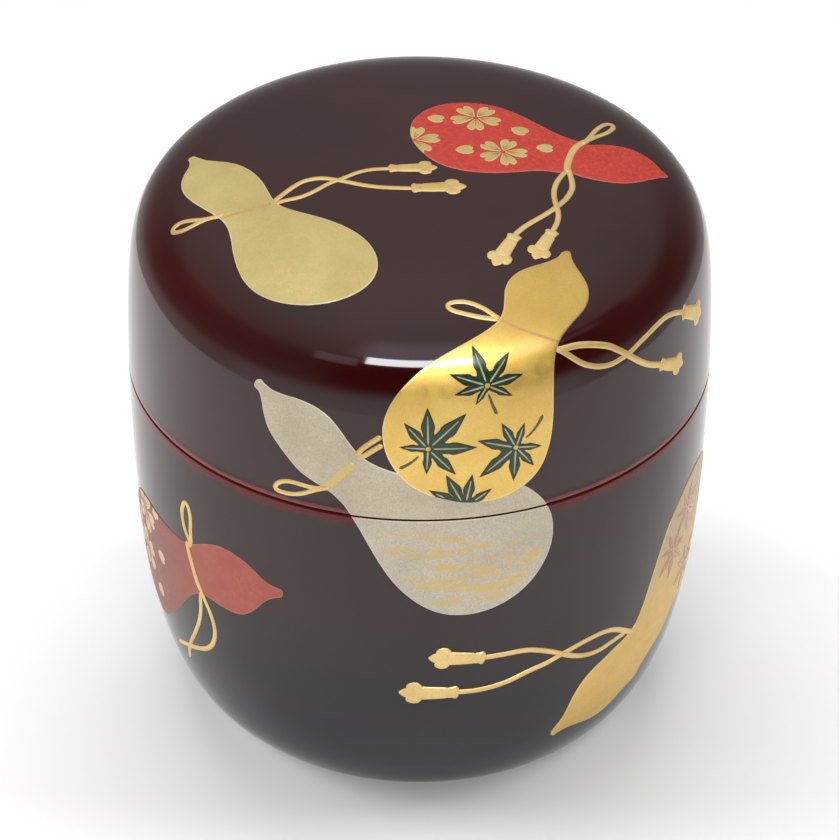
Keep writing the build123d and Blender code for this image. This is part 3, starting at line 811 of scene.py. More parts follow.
def drawn_paint(name, dark, light, rough=0.4, metallic=0.0):
    mat, nt, bsdf = tree(name)
    mm = millimetres(nt)
    n = noise(nt, mm, 1.8, 3.0, 0.65)
    nt.links.new(ramp(nt, n, [(0.3, dark), (0.7, light)]), bsdf.inputs["Base Color"])
    bsdf.inputs["Metallic"].default_value = metallic
    nt.links.new(span(nt, n, 0.3, 0.7, rough - 0.05, rough + 0.07), bsdf.inputs["Roughness"])
    bump(nt, bsdf, noise(nt, mm, 6.0, 2.0), 0.25, 0.00002)
    return mat


LACQUER_LID = lacquer_outside("lacquer_red_brown_lid", (0.23, 0.060, 0.054), 0.60,
                              (0.018, 0.0013, 0.0011), (0.026, 0.0021, 0.0018))
LACQUER_BODY = lacquer_outside("lacquer_red_brown_body", (0.115, 0.009, 0.008), 1.35,
                               (0.015, 0.0014, 0.0015), (0.022, 0.0022, 0.0024))
BLACK = lacquer_inside("lacquer_black", (0.010, 0.0065, 0.0065), 0.10, 0.18)
BLACK_BASE = lacquer_inside("lacquer_black_base", (0.012, 0.008, 0.008), 0.16, 0.28)
WOOD = wood("turned_wood")
GOLD = metal_powder("gold_powder", (0.78, 0.495, 0.108), (0.86, 0.59, 0.15), (0.95, 0.72, 0.36), 0.44, coat=0.9)
# the warm gold is greyed towards the top: painted light that keeps the lower part bright
GOLD_SIDE = metal_powder("gold_powder_warm", (0.71, 0.485, 0.147), (0.81, 0.56, 0.172), (0.82, 0.64, 0.35), 0.42,
                         0.85, ((0.82, 0.46, 0.19), 0.5), painted_light_by_height=((0.46, 0.36, 0.27), 17.0, 34.0, 0.8))
PALE_GOLD = metal_powder("pale_gold_powder", (0.525, 0.413, 0.160), (0.595, 0.50, 0.202), (0.78, 0.66, 0.42), 0.58,
                         0.55, ((0.66, 0.47, 0.22), 0.6))
SILVER = metal_powder("silver_powder", (0.55, 0.475, 0.345), (0.655, 0.575, 0.425), (0.70, 0.58, 0.48), 0.55, 0.55, grain=1.0)
SILVER_BRUSHED = metal_powder("silver_powder_brushed", (0.54, 0.48, 0.385), (0.635, 0.575, 0.465), (0.68, 0.57, 0.48),
                              0.55, 0.55, grain=1.0, brushed=((0.66, 0.46, 0.15), SEAM_Z, 0.75))
CORD_GOLD = metal_powder("gold_line", (0.74, 0.50, 0.19), (0.86, 0.64, 0.27), (0.86, 0.64, 0.27), 0.45, 0.7)
RED = red_figure("red_lacquer", ((0.305, 0.019, 0.014), (0.405, 0.030, 0.016), (0.46, 0.082, 0.024)),
                 (0.43, 0.028, 0.030), (0.51, 0.135, 0.10))
# the side gourd's red is paler, with painted shade on its left side
RED_SIDE = red_figure("red_lacquer_hazy_painted_shade", ((0.290, 0.057, 0.039), (0.355, 0.074, 0.048), (0.40, 0.114, 0.055)),
                      (0.29, 0.048, 0.048), (0.40, 0.19, 0.15), 0.42, (0.14, 0.055, 0.038))
LEAF_GREEN = leaf_paint("leaf_green", (0.023, 0.054, 0.028), (0.030, 0.026, 0.008))
STALK = drawn_paint("leaf_stalk_line", (0.10, 0.075, 0.015), (0.16, 0.11, 0.03), 0.3)
LEAF_BROWN = leaf_paint("leaf_russet", (0.44, 0.235, 0.125), (0.36, 0.165, 0.085))
LEAF_VEIN = drawn_paint("leaf_vein", (0.34, 0.36, 0.20), (0.52, 0.50, 0.30))
RUSSET_LINE = drawn_paint("russet_line", (0.30, 0.13, 0.07), (0.38, 0.18, 0.10))
LEAF_HEART = drawn_paint("leaf_heart", (0.66, 0.38, 0.10), (0.80, 0.50, 0.16), 0.4, 0.5)
BLOSSOM = metal_powder("blossom_gold", (0.58, 0.43, 0.15), (0.66, 0.52, 0.20), (0.80, 0.52, 0.28), 0.5, 0.6)
BLOSSOM_SIDE = metal_powder("blossom_pale", (0.60, 0.42, 0.27), (0.68, 0.50, 0.34), (0.72, 0.50, 0.40), 0.5, 0.4)
STAMEN = drawn_paint("stamen_line", (0.22, 0.12, 0.03), (0.34, 0.20, 0.06))
WAIST_LINE = drawn_paint("waist_tie_line", (0.52, 0.30, 0.11), (0.62, 0.38, 0.14), 0.4, 0.5)
WORN_BAND = metal_powder("worn_gold_band", (0.66, 0.50, 0.20), (0.76, 0.54, 0.14), (0.66, 0.54, 0.30), 0.5, 0.6,
                         ((0.56, 0.50, 0.36), 0.9))

# ================================================================ the turned lacquer pieces
lid_lacquer = lathe(
    "lid_outer_lacquer_coat",
    [skin(s, 0.0) for s in steps(0.0, SEAM_S - SEAM_ROUND, 0.42)][:-1]
    + corner((SEAM_R - SEAM_ROUND, SEAM_Z + SEAM_ROUND), SEAM_ROUND, 0, -90, 10)
    + [(SEAM_R - COAT, SEAM_Z), (SEAM_R - COAT, SEAM_Z + 0.4)]
    + [skin(s, COAT) for s in steps(SEAM_S - 1.0, 0.0, 1.3)],
    LACQUER_LID)
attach(lid_lacquer, "lid")
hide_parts("lid_outer_lacquer")

lid_lining = lathe(
    "lid_inner_lacquer_coat",
    lid_inside(0.0)
    + [(LID_MOUTH_R, z) for z in steps(LID_STRAIGHT_TOP, SEAM_Z + 0.2, 1.2)][1:]
    + corner((LID_MOUTH_R + 0.2, SEAM_Z + 0.2), 0.2, 180, 270, 6)
    + [(SEAM_R - COAT - 0.002, SEAM_Z), (SEAM_R - COAT - 0.002, SEAM_Z + INNER_COAT),
       (LID_MOUTH_R + INNER_COAT, SEAM_Z + INNER_COAT)]
    + lid_inside(INNER_COAT, 2.0)[::-1],
    BLACK)
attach(lid_lining, "lid")
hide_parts("lid_inner_lacquer")

body_lacquer = lathe(
    "body_outer_lacquer_coat",
    corner((SEAM_R - SEAM_ROUND, SEAM_Z - SEAM_ROUND), SEAM_ROUND, 90, 0, 10)
    + [skin(s, 0.0) for s in steps(SEAM_S + SEAM_ROUND, FOOT_S, 0.42)][1:]
    + [skin(s, COAT) for s in steps(FOOT_S, SEAM_S + 0.6, 1.3)]
    + [(SEAM_R - COAT, SEAM_Z - 0.3), (SEAM_R - COAT, SEAM_Z)],
    LACQUER_BODY)
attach(body_lacquer, "caddy")
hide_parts("body_outer_lacquer")

chamber_face = body_inside(0.0)
chamber_back = body_inside(INNER_COAT, 2.0)
body_lining = lathe(
    "body_inner_lacquer_coat",
    [(0.0, chamber_face[0][1]), (6.0, chamber_face[0][1]), (12.0, chamber_face[0][1])]
    + chamber_face
    + [(RIM_IN_R, z) for z in steps(SEAM_Z - 4.0, RIM_TOP - RIM_ROUND, 1.2)][1:]
    + corner((RIM_IN_R + RIM_ROUND, RIM_TOP - RIM_ROUND), RIM_ROUND, 180, 90, 10)[1:]
    + corner((RIM_OUT_R - RIM_ROUND, RIM_TOP - RIM_ROUND), RIM_ROUND, 90, 0, 10)
    + [(RIM_OUT_R, z) for z in steps(RIM_TOP - RIM_ROUND, SEAM_Z + 0.25, 1.2)][1:]
    + corner((RIM_OUT_R + 0.25, SEAM_Z + 0.25), 0.25, 180, 270, 6)[1:]
    + [(SEAM_R - COAT - 0.002, SEAM_Z), (SEAM_R - COAT - 0.002, SEAM_Z - INNER_COAT),
       (RIM_OUT_R - INNER_COAT, SEAM_Z - INNER_COAT), (RIM_OUT_R - INNER_COAT, RIM_TOP - RIM_ROUND)]
    + corner((RIM_OUT_R - RIM_ROUND, RIM_TOP - RIM_ROUND), RIM_ROUND - INNER_COAT, 0, 90, 4)[1:]
    + corner((RIM_IN_R + RIM_ROUND, RIM_TOP - RIM_ROUND), RIM_ROUND - INNER_COAT, 90, 180, 4)
    + chamber_back[::-1]
    + [(0.0, chamber_back[0][1])],
    BLACK)
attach(body_lining, "caddy")
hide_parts("body_inner_lacquer")

foot_c = (foot_r - FOOT_ROUND * math.sin(foot_a), FOOT_ROUND)
foot_from = math.degrees(math.pi / 2 - foot_a)
base_coat = lathe(
    "base_lacquer_coat",
    corner(foot_c, FOOT_ROUND, foot_from, -90, 12)
    + corner((BASE_LAND_R + 0.18, 0.18), 0.18, 270, 225, 4)
    + [(BASE_LAND_R - BASE_RECESS + 0.1, BASE_RECESS - 0.06), (BASE_LAND_R - BASE_RECESS - 0.2, BASE_RECESS)]
    + [(r, BASE_RECESS) for r in (15.0, 10.0, 5.0)]
    + [(0.0, BASE_RECESS), (0.0, BASE_RECESS + COAT)]
    + [(r, BASE_RECESS + COAT) for r in (10.0, BASE_LAND_R - BASE_RECESS)]
    + [(BASE_LAND_R + COAT, COAT)]
    + corner(foot_c, FOOT_ROUND - COAT, -90, foot_from, 6),
    BLACK_BASE)
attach(base_coat, "caddy")
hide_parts("base_lacquer")

for node in ("body_core", "lid_core"):
    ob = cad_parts[node]
    ob.data.materials.clear()
    ob.data.materials.append(WOOD)

# ================================================================ the gourds
# closed outlines: the place of the bulb's middle (mm along the profile, degrees round from
# the front), then mm down the profile and mm to the right of there
GOURDS = {
    "pale_gold": (22.4, -35.2, [
        (-9.48, -23.13), (-10.12, -22.90), (-9.94, -21.92), (-9.70, -20.65), (-9.78, -19.17), (-10.03, -17.53), (-10.04, -15.68), (-9.52, -13.58),
        (-8.49, -11.47), (-7.26, -9.69), (-6.29, -8.27), (-5.81, -6.97), (-5.76, -5.33), (-5.99, -3.31), (-6.25, -1.09), (-6.27, 1.31),
        (-5.91, 3.64), (-5.04, 5.83), (-3.60, 7.66), (-1.83, 8.75), (0.01, 8.98), (1.87, 8.37), (3.62, 7.02), (5.06, 5.09),
        (6.00, 2.83), (6.41, 0.49), (6.25, -1.71), (5.50, -3.72), (4.22, -5.54), (2.70, -7.15), (1.24, -8.50), (-0.04, -9.86),
        (-0.92, -11.31), (-1.48, -13.01), (-2.04, -15.09), (-2.75, -17.29), (-3.74, -19.24), (-5.08, -20.69), (-6.61, -21.48), (-7.95, -21.86),
        (-8.85, -22.36)]),
    "red_blossom": (7.6, 121.3, [
        (-6.08, 4.74), (-5.05, 6.10), (-3.63, 7.18), (-1.86, 7.93), (0.05, 8.09), (1.92, 7.61), (3.56, 6.61), (4.99, 5.30),
        (6.03, 3.60), (6.75, 1.73), (7.30, -0.15), (7.79, -1.88), (8.32, -3.39), (9.00, -4.63), (9.73, -5.56), (10.51, -6.55),
        (12.06, -6.96), (13.64, -7.56), (15.01, -8.44), (16.02, -9.64), (16.55, -10.98), (16.71, -12.24), (17.03, -13.36), (15.35, -13.76),
        (13.59, -14.17), (11.71, -14.49), (9.74, -14.37), (8.07, -13.71), (6.80, -12.80), (5.82, -11.89), (5.15, -10.95), (3.99, -10.36),
        (2.74, -9.49), (1.09, -8.79), (-0.79, -8.19), (-2.56, -7.46), (-4.14, -6.51), (-5.50, -5.36), (-6.54, -3.95), (-7.20, -2.24),
        (-7.40, -0.14), (-7.20, 1.87), (-6.76, 3.43)]),
    "gold_maple": (41.4, 9.8, [
        (-19.47, 13.25), (-19.94, 13.86), (-20.04, 14.52), (-19.73, 14.99), (-18.61, 14.89), (-17.34, 15.08), (-15.94, 15.46), (-14.43, 15.66),
        (-13.02, 15.29), (-12.00, 14.43), (-11.22, 13.22), (-10.46, 11.95), (-9.64, 10.90), (-8.67, 10.13), (-7.42, 9.62), (-5.80, 9.37),
        (-3.76, 9.28), (-1.39, 9.25), (1.01, 9.10), (3.19, 8.69), (5.15, 7.94), (6.65, 6.77), (7.70, 5.13), (8.40, 3.22),
        (8.56, 1.11), (8.42, -0.91), (7.81, -2.95), (7.09, -4.89), (6.01, -6.51), (4.57, -7.81), (2.75, -8.81), (0.71, -9.36),
        (-1.40, -9.40), (-3.33, -8.89), (-5.08, -7.96), (-6.67, -6.65), (-8.04, -5.11), (-9.15, -3.34), (-10.08, -1.41), (-10.90, 0.51),
        (-11.72, 2.34), (-12.58, 3.77), (-13.68, 4.62), (-14.95, 5.04), (-16.23, 5.44), (-17.44, 6.29), (-18.31, 7.62), (-18.74, 9.25),
        (-18.94, 10.90), (-19.16, 12.28)]),
    "silver": (56.1, 10.6, [
        (-18.00, -24.81), (-18.54, -24.50), (-18.71, -23.99), (-18.27, -23.34), (-17.92, -22.49), (-17.77, -21.11), (-17.67, -19.17), (-17.16, -17.21),
        (-16.19, -15.71), (-14.85, -14.55), (-13.37, -13.52), (-12.18, -12.54), (-11.29, -11.32), (-10.55, -9.66), (-9.97, -7.40), (-9.64, -4.57),
        (-9.42, -1.40), (-8.98, 1.67), (-8.21, 4.00), (-7.17, 5.69), (-5.84, 7.06), (-4.29, 8.12), (-2.65, 8.79), (-0.79, 9.09),
        (1.40, 8.92), (3.56, 8.19), (5.56, 6.95), (7.22, 5.24), (8.44, 3.10), (9.11, 0.92), (9.26, -1.14), (8.92, -3.25),
        (7.95, -5.27), (6.36, -7.19), (4.35, -8.88), (2.09, -10.25), (-0.13, -11.38), (-2.06, -12.34), (-3.70, -13.21), (-5.15, -14.11),
        (-6.26, -15.18), (-7.05, -16.35), (-7.71, -17.71), (-8.56, -19.20), (-9.85, -20.54), (-11.35, -21.86), (-12.90, -22.98), (-14.58, -23.57),
        (-16.06, -23.86), (-17.16, -24.21), (-17.53, -24.74)]),
    "red_side": (70.8, -69.9, [
        (-5.72, 0.34), (-5.71, 2.75), (-5.64, 5.00), (-5.59, 7.10), (-5.63, 8.85), (-5.92, 10.45), (-6.74, 12.19), (-7.73, 13.99),
        (-8.38, 15.70), (-8.53, 17.33), (-8.29, 18.76), (-7.83, 19.99), (-7.20, 21.02), (-6.54, 21.91), (-6.04, 22.78), (-5.82, 23.67),
        (-5.68, 24.46), (-5.23, 24.61), (-4.58, 24.37), (-4.21, 23.55), (-3.70, 22.67), (-2.77, 21.71), (-1.64, 20.75), (-0.59, 19.69),
        (0.12, 18.49), (0.38, 17.19), (0.37, 15.83), (0.27, 14.45), (0.23, 13.11), (0.58, 11.70), (1.78, 10.08), (3.49, 8.53),
        (5.26, 7.11), (7.16, 5.35), (9.09, 3.08), (10.77, 0.64), (9.97, -2.29), (8.34, -5.00), (5.82, -6.90), (2.60, -7.68),
        (-0.68, -7.02), (-3.38, -5.08), (-5.07, -2.44)]),
    "gold_side": (68.5, 68.9, [
        (-7.36, -0.55), (-6.66, -2.17), (-5.65, -3.73), (-4.41, -5.11), (-2.91, -6.19), (-1.14, -7.07), (0.71, -7.82), (2.61, -8.49),
        (4.45, -9.11), (5.94, -9.67), (7.13, -10.25), (7.98, -11.15), (8.60, -12.39), (9.13, -13.75), (9.81, -15.05), (10.53, -16.27),
        (11.39, -17.28), (12.49, -18.11), (13.97, -18.72), (15.60, -19.09), (17.16, -19.38), (18.43, -19.79), (19.49, -20.23), (20.21, -20.12),
        (20.66, -19.60), (20.22, -19.01), (19.94, -18.07), (20.00, -16.57), (20.28, -14.74), (20.29, -13.00), (19.80, -11.62), (18.99, -10.35),
        (18.10, -9.00), (17.59, -7.33), (16.09, -6.47), (14.99, -5.32), (14.16, -3.89), (13.18, -2.54), (12.00, -1.29), (10.69, -0.10),
        (10.19, 4.23), (8.39, 7.78), (5.30, 10.15), (1.50, 11.00), (-2.30, 10.15), (-5.39, 7.78), (-7.22, 4.51), (-7.70, 1.54)]),
}


def rounded(knots, n=10):
    """A smooth closed curve through the knots."""
    k = np.asarray(knots, float)
    p0, p1, p2, p3 = np.roll(k, 1, 0), k, np.roll(k, -1, 0), np.roll(k, -2, 0)
    out = []
    for j in range(n):
        t = j / n
        out.append(0.5 * (2 * p1 + (p2 - p0) * t + (2 * p0 - 5 * p1 + 4 * p2 - p3) * t * t
                          + (3 * p1 - p0 - 3 * p2 + p3) * t ** 3))
    return np.stack(out, 1).reshape(-1, 2)


OUT = {name: closed(rounded(row[2]), 0.24) for name, row in GOURDS.items()}
AT = {name: row[:2] for name, row in GOURDS.items()}
HIGH = 0.10               # relief of a gourd
UPPER = 0.13              # relief of the gourd that lies over another


def plain_gourd(name, key, side, body, material, nodes, height=HIGH, edge=0.035):
    parts = Parts()
    outline_relief(parts, AT[key], OUT[key], height, side, edge=edge)
    ob = parts.make(name, material)
    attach(ob, body)
    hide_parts(*nodes)
    return ob


plain_gourd("gourd_pale_gold_relief", "pale_gold", "lid", "lid", PALE_GOLD, ["gourd_pale_gold"])
plain_gourd("gourd_red_blossom_relief", "red_blossom", "lid", "lid", RED, ["gourd_red_blossom"])
plain_gourd("gourd_gold_maple_relief", "gold_maple", "lid", "lid", GOLD, ["gourd_gold_maple"],
            UPPER, 0.085)
plain_gourd("gourd_red_side_relief", "red_side", "body", "caddy", RED_SIDE, ["gourd_red_side"])
plain_gourd("gourd_gold_side_relief", "gold_side", "body", "caddy", GOLD_SIDE, ["gourd_gold_side"])

# the silver gourd crosses the seam, and its upper part lies under the gold one
silver_at, silver = AT["silver"], OUT["silver"]
seam_turn = np.linspace(-40, 60, 420)
seam_line = flat_place(*silver_at, surface_point(np.full(420, SEAM_S), seam_turn))
maple_in_silver = flat_place(*silver_at, laid(*AT["gold_maple"], OUT["gold_maple"])[0])


def above_seam(q):
    order = np.argsort(seam_line[:, 1])
    return q[:, 0] < np.interp(q[:, 1], seam_line[order, 1], seam_line[order, 0])


for name, side, body, node, keep, lines, soft, material in (
        ("gourd_silver_upper_relief", "lid", "lid", "gourd_silver_lid",
         lambda q: inside(silver, q) & above_seam(q) & ~inside(maple_in_silver, q),
         [(silver, True), (seam_line, False), (maple_in_silver, True)], [(silver, True), (seam_line, False)], SILVER),
        ("gourd_silver_lower_relief", "body", "caddy", "gourd_silver_body",
         lambda q: inside(silver, q) & ~above_seam(q),
         [(silver, True), (seam_line, False)], [(silver, True), (seam_line, False)], SILVER_BRUSHED)):
    parts = Parts()
    relief(parts, silver_at, lines, keep, soft, 0.08, side, edge=0.02)
    ob = parts.make(name, material)
    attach(ob, body)
    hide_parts(node)


def gourd_level(key, height, edge, width=0.32):
    loop = OUT[key]

    def level(q):
        return pillow(distance([(loop, True)], q), height, edge, width)
    return level


# ---------------------------------------------------------------- maple leaves
# centre, tips in order round the leaf, then the stalk's ends, all in the gourd's own flat chart
LEAVES = {
    "gold_maple": [
        ((-5.85, 1.8), [(-10.3, 0.47), (-9.15, 4.5), (-6.55, 5.85), (-4.28, 4.56), (-3.75, 0.48), (-5.1, -1.79), (-7.46, -2.28)],
         [(-4.9, 1.9), (-3.6, 2.3), (-2.36, 2.8)]),
        ((1.28, -4.59), [(-3.78, -4.62), (-2.85, -0.49), (1.45, 0.66), (4.7, -1.62), (4.58, -4.78), (1.1, -7.66), (-1.95, -7.14)],
         [(2.2, -5.6), (3.1, -6.5), (3.81, -7.67)]),
        ((2.13, 4.91), [(-1.21, 3.29), (0.65, 0.65), (5.35, 0.88), (6.44, 4.7), (4.96, 7.05), (2.6, 7.91), (-0.78, 5.88)],
         [(1.2, 6.0), (0.2, 7.1), (-1.26, 7.99)]),
        ((9.0, -0.62), [(6.59, -4.52), (4.69, -2.69), (4.8, 0.17), (6.95, 2.33), (10.6, 2.2), (12.4, -1.0), (9.6, -4.9)], None),
    ],
    "gold_side": [
        ((-3.1, -0.2), [(-6.6, 0.6), (-6.0, -1.9), (-4.0, -3.6), (-0.9, -3.2), (0.6, 0.2), (-0.9, 3.1), (-4.4, 3.4)], None),
        ((0.7, -3.6), [(-2.2, -5.2), (-0.2, -6.6), (2.9, -6.7), (4.6, -4.1), (3.3, -1.0), (0.6, -0.6), (-1.9, -2.3)], None),
        ((6.2, 1.8), [(2.9, 0.6), (4.2, -1.4), (7.2, -1.9), (9.6, 0.6), (9.0, 3.8), (6.2, 5.4), (3.4, 4.2)], None),
    ],
}


def leaf_loop(centre, tips):
    c = np.array(centre)
    d = [np.array(t) - c for t in tips]
    d.sort(key=lambda w: math.atan2(w[1], w[0]))
    ang = [math.atan2(w[1], w[0]) for w in d]
    size = [math.hypot(*w) for w in d]
    pts, k = [], len(d)
    for i in range(k):
        j = (i - 1) % k
        gap = (ang[i] - ang[j]) % (2 * math.pi)
        mid = ang[j] + gap / 2
        notch = (0.36 if gap < 1.15 else 0.22) * min(size[i], size[j])
        pts.append(c + notch * np.array([math.cos(mid), math.sin(mid)]))
        e = np.array([math.cos(ang[i]), math.sin(ang[i])])
        m = np.array([-e[1], e[0]])
        for side in (-1, 1):
            ts = [0.42, 0.49, 0.57, 0.65, 0.73, 0.81, 0.88, 0.94]
            for t in ts if side < 0 else ts[::-1]:
                w = 0.158 * size[i] * min(1.0, 0.80 + 2.2 * (t - 0.42), ((1 - t) / 0.46) ** 0.90)
                pts.append(c + e * t * size[i] + m * side * w)
            if side < 0:
                pts.append(c + e * size[i])
    return closed(np.array(pts), 0.12)


def straight(a, b, n):
    return np.array(a) + (np.array(b) - np.array(a)) * np.linspace(0, 1, n)[:, None]


for key, rows_, paint, side, body, tall, edge in (
        ("gold_maple", LEAVES["gold_maple"], LEAF_GREEN, "lid", "lid", UPPER, 0.085),
        ("gold_side", LEAVES["gold_side"], LEAF_BROWN, "body", "caddy", HIGH, 0.035)):
    loop = OUT[key]
    ground = gourd_level(key, tall, edge)
    leaf_parts, vein_parts, heart_parts, stalk_parts = Parts(), Parts(), Parts(), Parts()
    for centre, tips, stalk in rows_:
        leaf = leaf_loop(centre, tips)
        whole = inside(loop, leaf).all()
        lines = [(leaf, True)] if whole else [(leaf, True), (loop, True)]
        relief(leaf_parts, AT[key], lines, lambda q: inside(leaf, q) & inside(loop, q), [(leaf, True)],
               0.030, side, spacing=0.3, edge=0.012, width=0.12, bottom=-0.03, level=ground,
               rings=(0.06, 0.14, 0.22))
        for tip in tips:
            a = np.array(centre) + (np.array(tip) - centre) * 0.10
            b = np.array(centre) + (np.array(tip) - centre) * 0.80
            line = straight(a, b, 14)
            ok = inside(loop, line) & (distance([(loop, True)], line) > 0.2)
            line = line[ok]
            if len(line) < 4:
                continue
            p, s, n = laid(*AT[key], line)
            w = np.interp(np.linspace(0, 1, len(line)), [0, 0.5, 1], [0.20, 0.17, 0.09])
            band(vein_parts, p, s, n, w, 0.022, side, level=ground(line) + 0.026, bottom=0.02, across=5)
        if stalk:
            q = np.array(stalk)
            curve = np.vstack([(1 - t) ** 2 * q[0] + 2 * t * (1 - t) * (2 * q[1] - (q[0] + q[2]) / 2) + t * t * q[2]
                               for t in np.linspace(0, 1, 14)])
            p, s, n = laid(*AT[key], curve)
            band(stalk_parts, p, s, n, np.linspace(0.22, 0.42, 14), 0.03, side, level=ground(curve), bottom=0.03, across=5)
        if (inside(loop, np.array([centre])) & (distance([(loop, True)], np.array([centre])) > 0.5)).all():
            ang = np.linspace(0, 2 * math.pi, 20, endpoint=False)
            dot = np.array(centre) + 0.28 * np.stack([np.cos(ang), np.sin(ang)], -1)
            outline_relief(heart_parts, AT[key], dot, 0.035, side, spacing=0.2, edge=0.015, width=0.2,
                           bottom=-0.03, level=lambda q: ground(q) + 0.03, rings=(0.1,))
    for parts, name, mat_ in ((leaf_parts, "leaves", paint), (vein_parts, "leaf_veins", LEAF_VEIN if paint is LEAF_GREEN else RUSSET_LINE),
                              (heart_parts, "leaf_hearts", LEAF_HEART), (stalk_parts, "leaf_stalks", STALK)):
        if parts.count:
            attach(parts.make(f"{name}_{key}", mat_), body)

# ---------------------------------------------------------------- blossoms
PETAL = np.array([(0.10, 0.03), (0.24, 0.12), (0.42, 0.23), (0.60, 0.315), (0.76, 0.34), (0.90, 0.30),
                  (0.99, 0.20), (1.0, 0.12), (0.91, 0.05), (0.82, 0.0)])
PETAL = np.vstack([PETAL, PETAL[:-1][::-1] * [1, -1]])
HEART = np.array([(0.0, 0.0), (0.12, 0.22), (0.34, 0.40), (0.62, 0.47), (0.86, 0.40), (1.0, 0.24), (0.99, 0.10),
                  (0.88, 0.0)])
HEART = np.vstack([HEART, HEART[1:-1][::-1] * [1, -1]])
BLOSSOMS = {
    "red_blossom": ([((1.75, 3.55), 2.85, 22), ((0.45, -4.25), 2.75, 40), ((-6.9, 2.6), 2.9, -20)],
                    [((-3.0, 6.2), 1.9, -45), ((4.1, -0.2), 2.0, -60), ((4.3, -5.0), 1.9, -30), ((-4.0, -1.5), 2.0, -25)]),
    "red_side": ([((-3.6, -0.6), 2.9, 10), ((2.6, -1.8), 2.8, 45), ((-0.6, -6.2), 2.8, 20)],
                 [((-6.3, 2.4), 1.8, 30), ((0.2, 2.6), 1.8, 80), ((5.6, 1.8), 1.8, -20)]),
}
for key, side, body in (("red_blossom", "lid", "lid"), ("red_side", "body", "caddy")):
    loop = OUT[key]
    ground = gourd_level(key, HIGH, 0.035)
    petals, lines_ = Parts(), Parts()
    whole_flowers, single = BLOSSOMS[key]
    shapes = []
    for centre, size, turn in whole_flowers:
        for i in range(5):
            shapes.append((centre, size, turn + 72 * i, PETAL, True))
    for centre, size, turn in single:
        shapes.append((centre, size, turn, HEART, False))
    for centre, size, turn, form, lined in shapes:
        t = math.radians(turn)
        rot = np.array([[math.cos(t), math.sin(t)], [-math.sin(t), math.cos(t)]])
        petal = closed(np.array(centre) + (form * size) @ rot, 0.13)
        if not inside(loop, petal).any():
            continue
        whole = inside(loop, petal).all()
        try_lines = [(petal, True)] if whole else [(petal, True), (loop, True)]
        mid = np.array([np.array(centre) + np.array([0.55 * size, 0.0]) @ rot])
        if not whole and not inside(loop, mid).all():
            continue
        relief(petals, AT[key], try_lines, lambda q: inside(petal, q) & inside(loop, q), [(petal, True)],
               0.035, side, spacing=0.28, edge=0.012, width=0.14, bottom=-0.03, level=ground,
               rings=(0.06, 0.13))
        if lined:
            for off, far in ((-15, 0.52), (0, 0.62), (15, 0.52)):
                o = math.radians(off)
                a = np.array([0.14 * size, 0.0])
                b = np.array([far * size * math.cos(o), far * size * math.sin(o)])
                line = np.array(centre) + straight(a, b, 8) @ rot
                if not (inside(loop, line) & (distance([(loop, True)], line) > 0.2)).all():
                    continue
                p, s, n = laid(*AT[key], line)
                band(lines_, p, s, n, np.linspace(0.13, 0.08, 8), 0.012, side, level=ground(line) + 0.034,
                     bottom=0.02, across=3)
    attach(petals.make(f"blossoms_{key}", BLOSSOM if side == "lid" else BLOSSOM_SIDE), body)
    if lines_.count:
        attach(lines_.make(f"blossom_lines_{key}", STAMEN), body)

